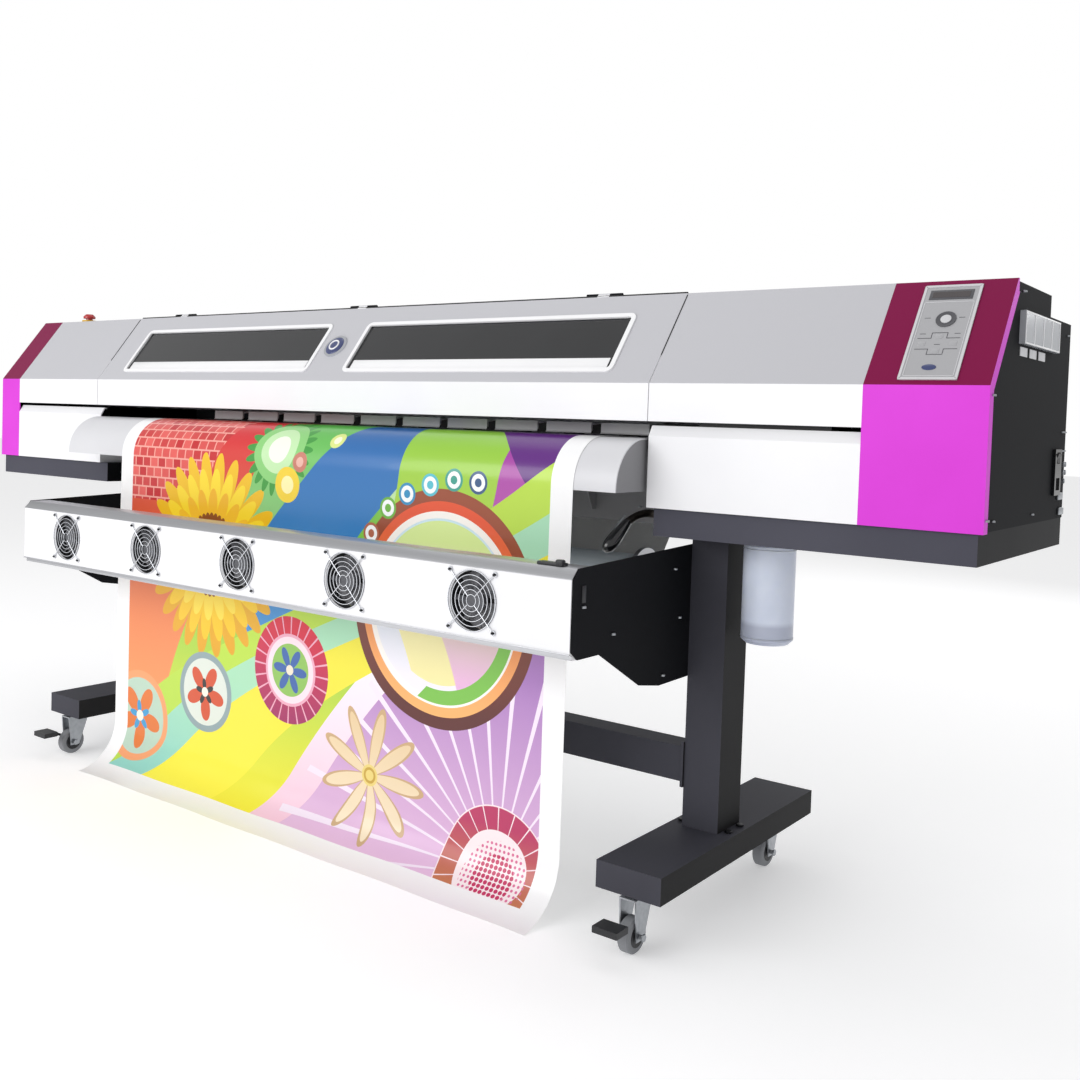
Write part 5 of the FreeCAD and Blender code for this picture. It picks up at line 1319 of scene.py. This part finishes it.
# %% Sweeping a rod
def swept(points, radius, shares, material, name, body):
    """A rod along five points, whose thickness at each is a share of the radius."""
    lone()
    bpy.ops.curve.primitive_nurbs_path_add()
    line = bpy.context.object
    spline = line.data.splines[0]
    for point, place, share in zip(spline.points, points, shares):
        point.co = (*place, 1)
        point.radius = share
    spline.order_u = 3
    spline.use_endpoint_u = True
    line.data.bevel_depth = radius
    line.data.bevel_resolution = 6
    line.data.use_fill_caps = True
    line.data.resolution_u = 10
    bpy.ops.object.convert(target="MESH")
    rod = bpy.context.object
    bpy.ops.object.mode_set(mode="EDIT")
    bpy.ops.mesh.select_all(action="SELECT")
    bpy.ops.mesh.remove_doubles(threshold=0.00002)
    bpy.ops.mesh.normals_make_consistent(inside=False)
    bpy.ops.object.mode_set(mode="OBJECT")
    rod.location = (0, 0, 0)
    return settle(rod, name, material, body, 40)


print("rods can be swept")

# %% Bar, grip and highlight strip of the lever
lever_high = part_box("pinch_lever")[1]
LEVER_SEAT = Vector((lever_high.x - 0.170, lever_high.y - 0.008, lever_high.z - 0.010))
bend = [LEVER_SEAT + Vector(step) for step in (
    (0.100, 0, 0), (-0.008, 0, 0), (-0.034, -0.020, 0.003), (-0.047, -0.062, -0.016),
    (-0.053, -0.085, -0.038))]
lever_steel = metal("Blackened_lever_steel", "4A4540", "2E2B29", 0.35, 6.0, (1, 1, 1), 0.25)
swept(bend, 0.0080, (1, 1, 1, 0.95, 0.9), lever_steel, "lever_bar", "pinch_lever")
tip_run = Vector((-0.015, -0.055, -0.055))
grip_seat = LEVER_SEAT + Vector((-0.044, -0.057, -0.014))
hold = [grip_seat + tip_run * share for share in (0, 0.2, 0.55, 0.92, 1.0)]
swept(hold, 0.0135, (0.62, 0.8, 1.05, 1.0, 0.3), gloss_abs, "lever_grip", "pinch_lever")
# Painted highlight: a bright zinc strip along the top of the grip.
strip = [grip_seat + Vector((-0.0085, -0.002, 0.0085)) + tip_run * share
         for share in (-0.06, 0.08, 0.2, 0.32, 0.42)]
swept(strip, 0.0022, (1, 1, 1, 1, 0.8), zinc, "lever_painted_highlight", "pinch_lever")
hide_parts("pinch_lever")
print("lever seat", [round(v, 3) for v in LEVER_SEAT])

# %% [markdown]
# ## Right end: tank ribs, label plates and sockets
# The ink tank on the end panel is a clear box with ribs between its chambers; a white bar along its
# top edge is a painted highlight. Three blank plates sit under it, and round and square sockets are
# grouped low down near the back edge.

# %% Tank ribs and plates
PANEL_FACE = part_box("right_side_panel")[1].x
TANK_LOW_Y, TANK_HIGH_Y, TANK_LOW_Z, TANK_HIGH_Z = 0.054, 0.310, 1.118, 1.176
tank_ribs_and_highlight = [block((0.0012, 0.0028, TANK_HIGH_Z - TANK_LOW_Z - 0.004),
                   (RIGHT_END_X + 0.0004, TANK_LOW_Y + share * (TANK_HIGH_Y - TANK_LOW_Y),
                    (TANK_LOW_Z + TANK_HIGH_Z) / 2), 0.0005)
             for share in (0.01, 0.25, 0.5, 0.75, 0.99)]
# White bars along the top and bottom edges of the box; the top one is a painted highlight.
for z in (TANK_LOW_Z + 0.002, TANK_HIGH_Z - 0.002):
    tank_ribs_and_highlight.append(block((0.0012, TANK_HIGH_Y - TANK_LOW_Y, 0.003),
                           (RIGHT_END_X + 0.0004, (TANK_LOW_Y + TANK_HIGH_Y) / 2, z), 0.0005))
settle(joined(tank_ribs_and_highlight), "tank_ribs_and_highlight", trim_white, "machine", smooth=30)
plates = [block((0.0016, 0.048, 0.016), (PANEL_FACE + 0.0008, y, 1.1055), 0.0006)
          for y in (0.085, 0.150, 0.215)]
settle(joined(plates), "label_plates", pale_ink, "machine", smooth=30)
print("ribs:", len(tank_ribs_and_highlight), "plates:", len(plates))

# %% Sockets and panel screws
sockets = []
for y, z in ((0.418, 0.905), (0.432, 0.905), (0.418, 0.889), (0.432, 0.889), (0.425, 0.872)):
    sockets.append(disc(0.0052, 0.006, (PANEL_FACE + 0.003, y, z), FACING_RIGHT, 24, rim=0.0018,
                        dish=0.002))
for y, z in ((0.408, 0.842), (0.420, 0.812)):
    sockets.append(block((0.005, 0.034, 0.014), (PANEL_FACE + 0.0025, y, z), 0.0015))
settle(joined(sockets), "end_sockets", zinc, "machine", smooth=40)
screw_set("right_panel_screws", [(PANEL_FACE + 0.001, y, z) for y, z in (
    (0.413, 0.969), (0.432, 0.969), (0.413, 0.932), (0.432, 0.932), (0.20, 0.815), (-0.06, 0.815),
    (0.42, 1.160))], FACING_RIGHT, "machine", 0.004)
screw_set("left_panel_screws", [(-PANEL_FACE - 0.001, y, z) for y, z in (
    (0.42, 0.969), (0.42, 0.815), (0.20, 0.815), (-0.06, 0.815), (0.42, 1.160), (0.1, 1.20))],
    FACING_LEFT, "machine", 0.004)
print("end face at", round(PANEL_FACE, 4))

# %% [markdown]
# ## Back of the machine
# The rear cover is one folded sheet. Louvres pressed into it let warm air out behind the
# electronics, and a row of screws holds it to the frame. One louvre is modelled and repeated.

# %% Louvres and rear screws
REAR_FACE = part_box("rear_cover")[1].y
louvre = bent_strip([(REAR_FACE - 0.0004, 0.8400), (REAR_FACE + 0.0046, 0.8420),
                     (REAR_FACE + 0.0046, 0.8435), (REAR_FACE - 0.0004, 0.8520)],
                    -0.05, 0.05, 0.0012)
louvre_places = [Vector((x, 0, i * 0.018)) for x in (-1.28, -1.15, 1.06, 1.19, 1.32)
                 for i in range(8)]
settle(copies(louvre, louvre_places), "rear_louvres", black_coat, "machine", 30)
rear_spots = [(x, z) for x in (-1.46, -1.22, 1.12, 1.46) for z in (0.815, 1.165)]
rear_spots += [(x, 1.165) for x in (-0.8, -0.4, 0, 0.4, 0.8)]
screw_set("rear_screws", [(x, REAR_FACE + 0.001, z) for x, z in rear_spots], FACING_BACK,
          "machine", 0.004, black_zinc)
print("louvres:", len(louvre_places), "rear screws:", len(rear_spots))

# %% [markdown]
# ## Stand hardware
# The columns are bolted to the foot bars, and the casters have black hubs and bright axle nuts.
# Hexagon nuts are six-sided cylinders with their edges broken.


# %% A hexagon nut
def hex_nut(radius, depth, place, turn):
    """A nut or bolt head with broken edges."""
    lone()
    bpy.ops.mesh.primitive_cylinder_add(vertices=6, radius=radius, depth=depth, location=place,
                                        rotation=turn)
    nut = bpy.context.object
    bpy.ops.object.mode_set(mode="EDIT")
    bpy.ops.mesh.select_all(action="SELECT")
    bpy.ops.mesh.bevel(offset=radius * 0.12, segments=2, affect="EDGES")
    bpy.ops.object.mode_set(mode="OBJECT")
    return nut


print("nuts can be made")

# %% Hubs and axle nuts of the casters
for end in ("front", "rear"):
    for side in ("left", "right"):
        wheel_low, wheel_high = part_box("caster_wheel_%s_%s" % (end, side))
        middle_y, middle_z = (wheel_low.y + wheel_high.y) / 2, (wheel_low.z + wheel_high.z) / 2
        hub_x = (wheel_low.x + wheel_high.x) / 2
        hubs = [disc(0.021, 0.0016, (hub_x + way * 0.0122, middle_y, middle_z),
                     FACING_RIGHT if way > 0 else FACING_LEFT, 36, rim=0.008, dish=0.0008)
                for way in (-1, 1)]
        settle(joined(hubs), "wheel_hub_%s_%s" % (end, side), black_abs,
               "caster_wheel_%s_%s" % (end, side), smooth=40)
        nuts = [hex_nut(0.0075, 0.004, (x, middle_y, middle_z), FACING_RIGHT)
                for x in (wheel_low.x + 0.001, wheel_high.x - 0.001)]
        settle(joined(nuts), "axle_nuts_%s_%s" % (end, side), zinc,
               "caster_wheel_%s_%s" % (end, side))
print("hubs and axle nuts done")

# %% Foot bolts
foot_boxes = [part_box(side + "_foot") for side in ("left", "right")]
FOOT_X = [((low + high) / 2).x for low, high in foot_boxes]
foot_top = foot_boxes[0][1].z
bolts = [hex_nut(0.008, 0.005, (x + across_x, y, foot_top + 0.0025), FACING_UP)
         for x in FOOT_X for across_x in (-0.052, 0.052) for y in (-0.01, 0.04)]
settle(joined(bolts), "foot_bolts", black_zinc, "machine", smooth=20)
print("foot bolts:", len(FOOT_X) * 4)

# %% [markdown]
# ## Studio floor
# The floor is seamless white paper. It has a faint glow of its own, so that its far end comes close
# to the backdrop and little but the machine's own shadow shows.

# %% Floor paper
PAPER_GLOW = 0.3
paper, tree, surface, spot = start("Seamless_white_paper")
tooth = add(tree, "ShaderNodeTexNoise", values={"Scale": 300.0}, links={"Vector": spot})
sheet_tint = add(tree, "ShaderNodeMix", {"data_type": "RGBA"},
                 {"A": ink("F2F2F3"), "B": ink("EFEFF0")}, {"Factor": tooth.outputs["Fac"]})
tree.links.new(sheet_tint.outputs["Result"], surface.inputs["Base Color"])
surface.inputs["Roughness"].default_value = 0.9
surface.inputs["Emission Color"].default_value = (1, 1, 1, 1)
surface.inputs["Emission Strength"].default_value = PAPER_GLOW
dress(paper, floor)
print("floor paper done")
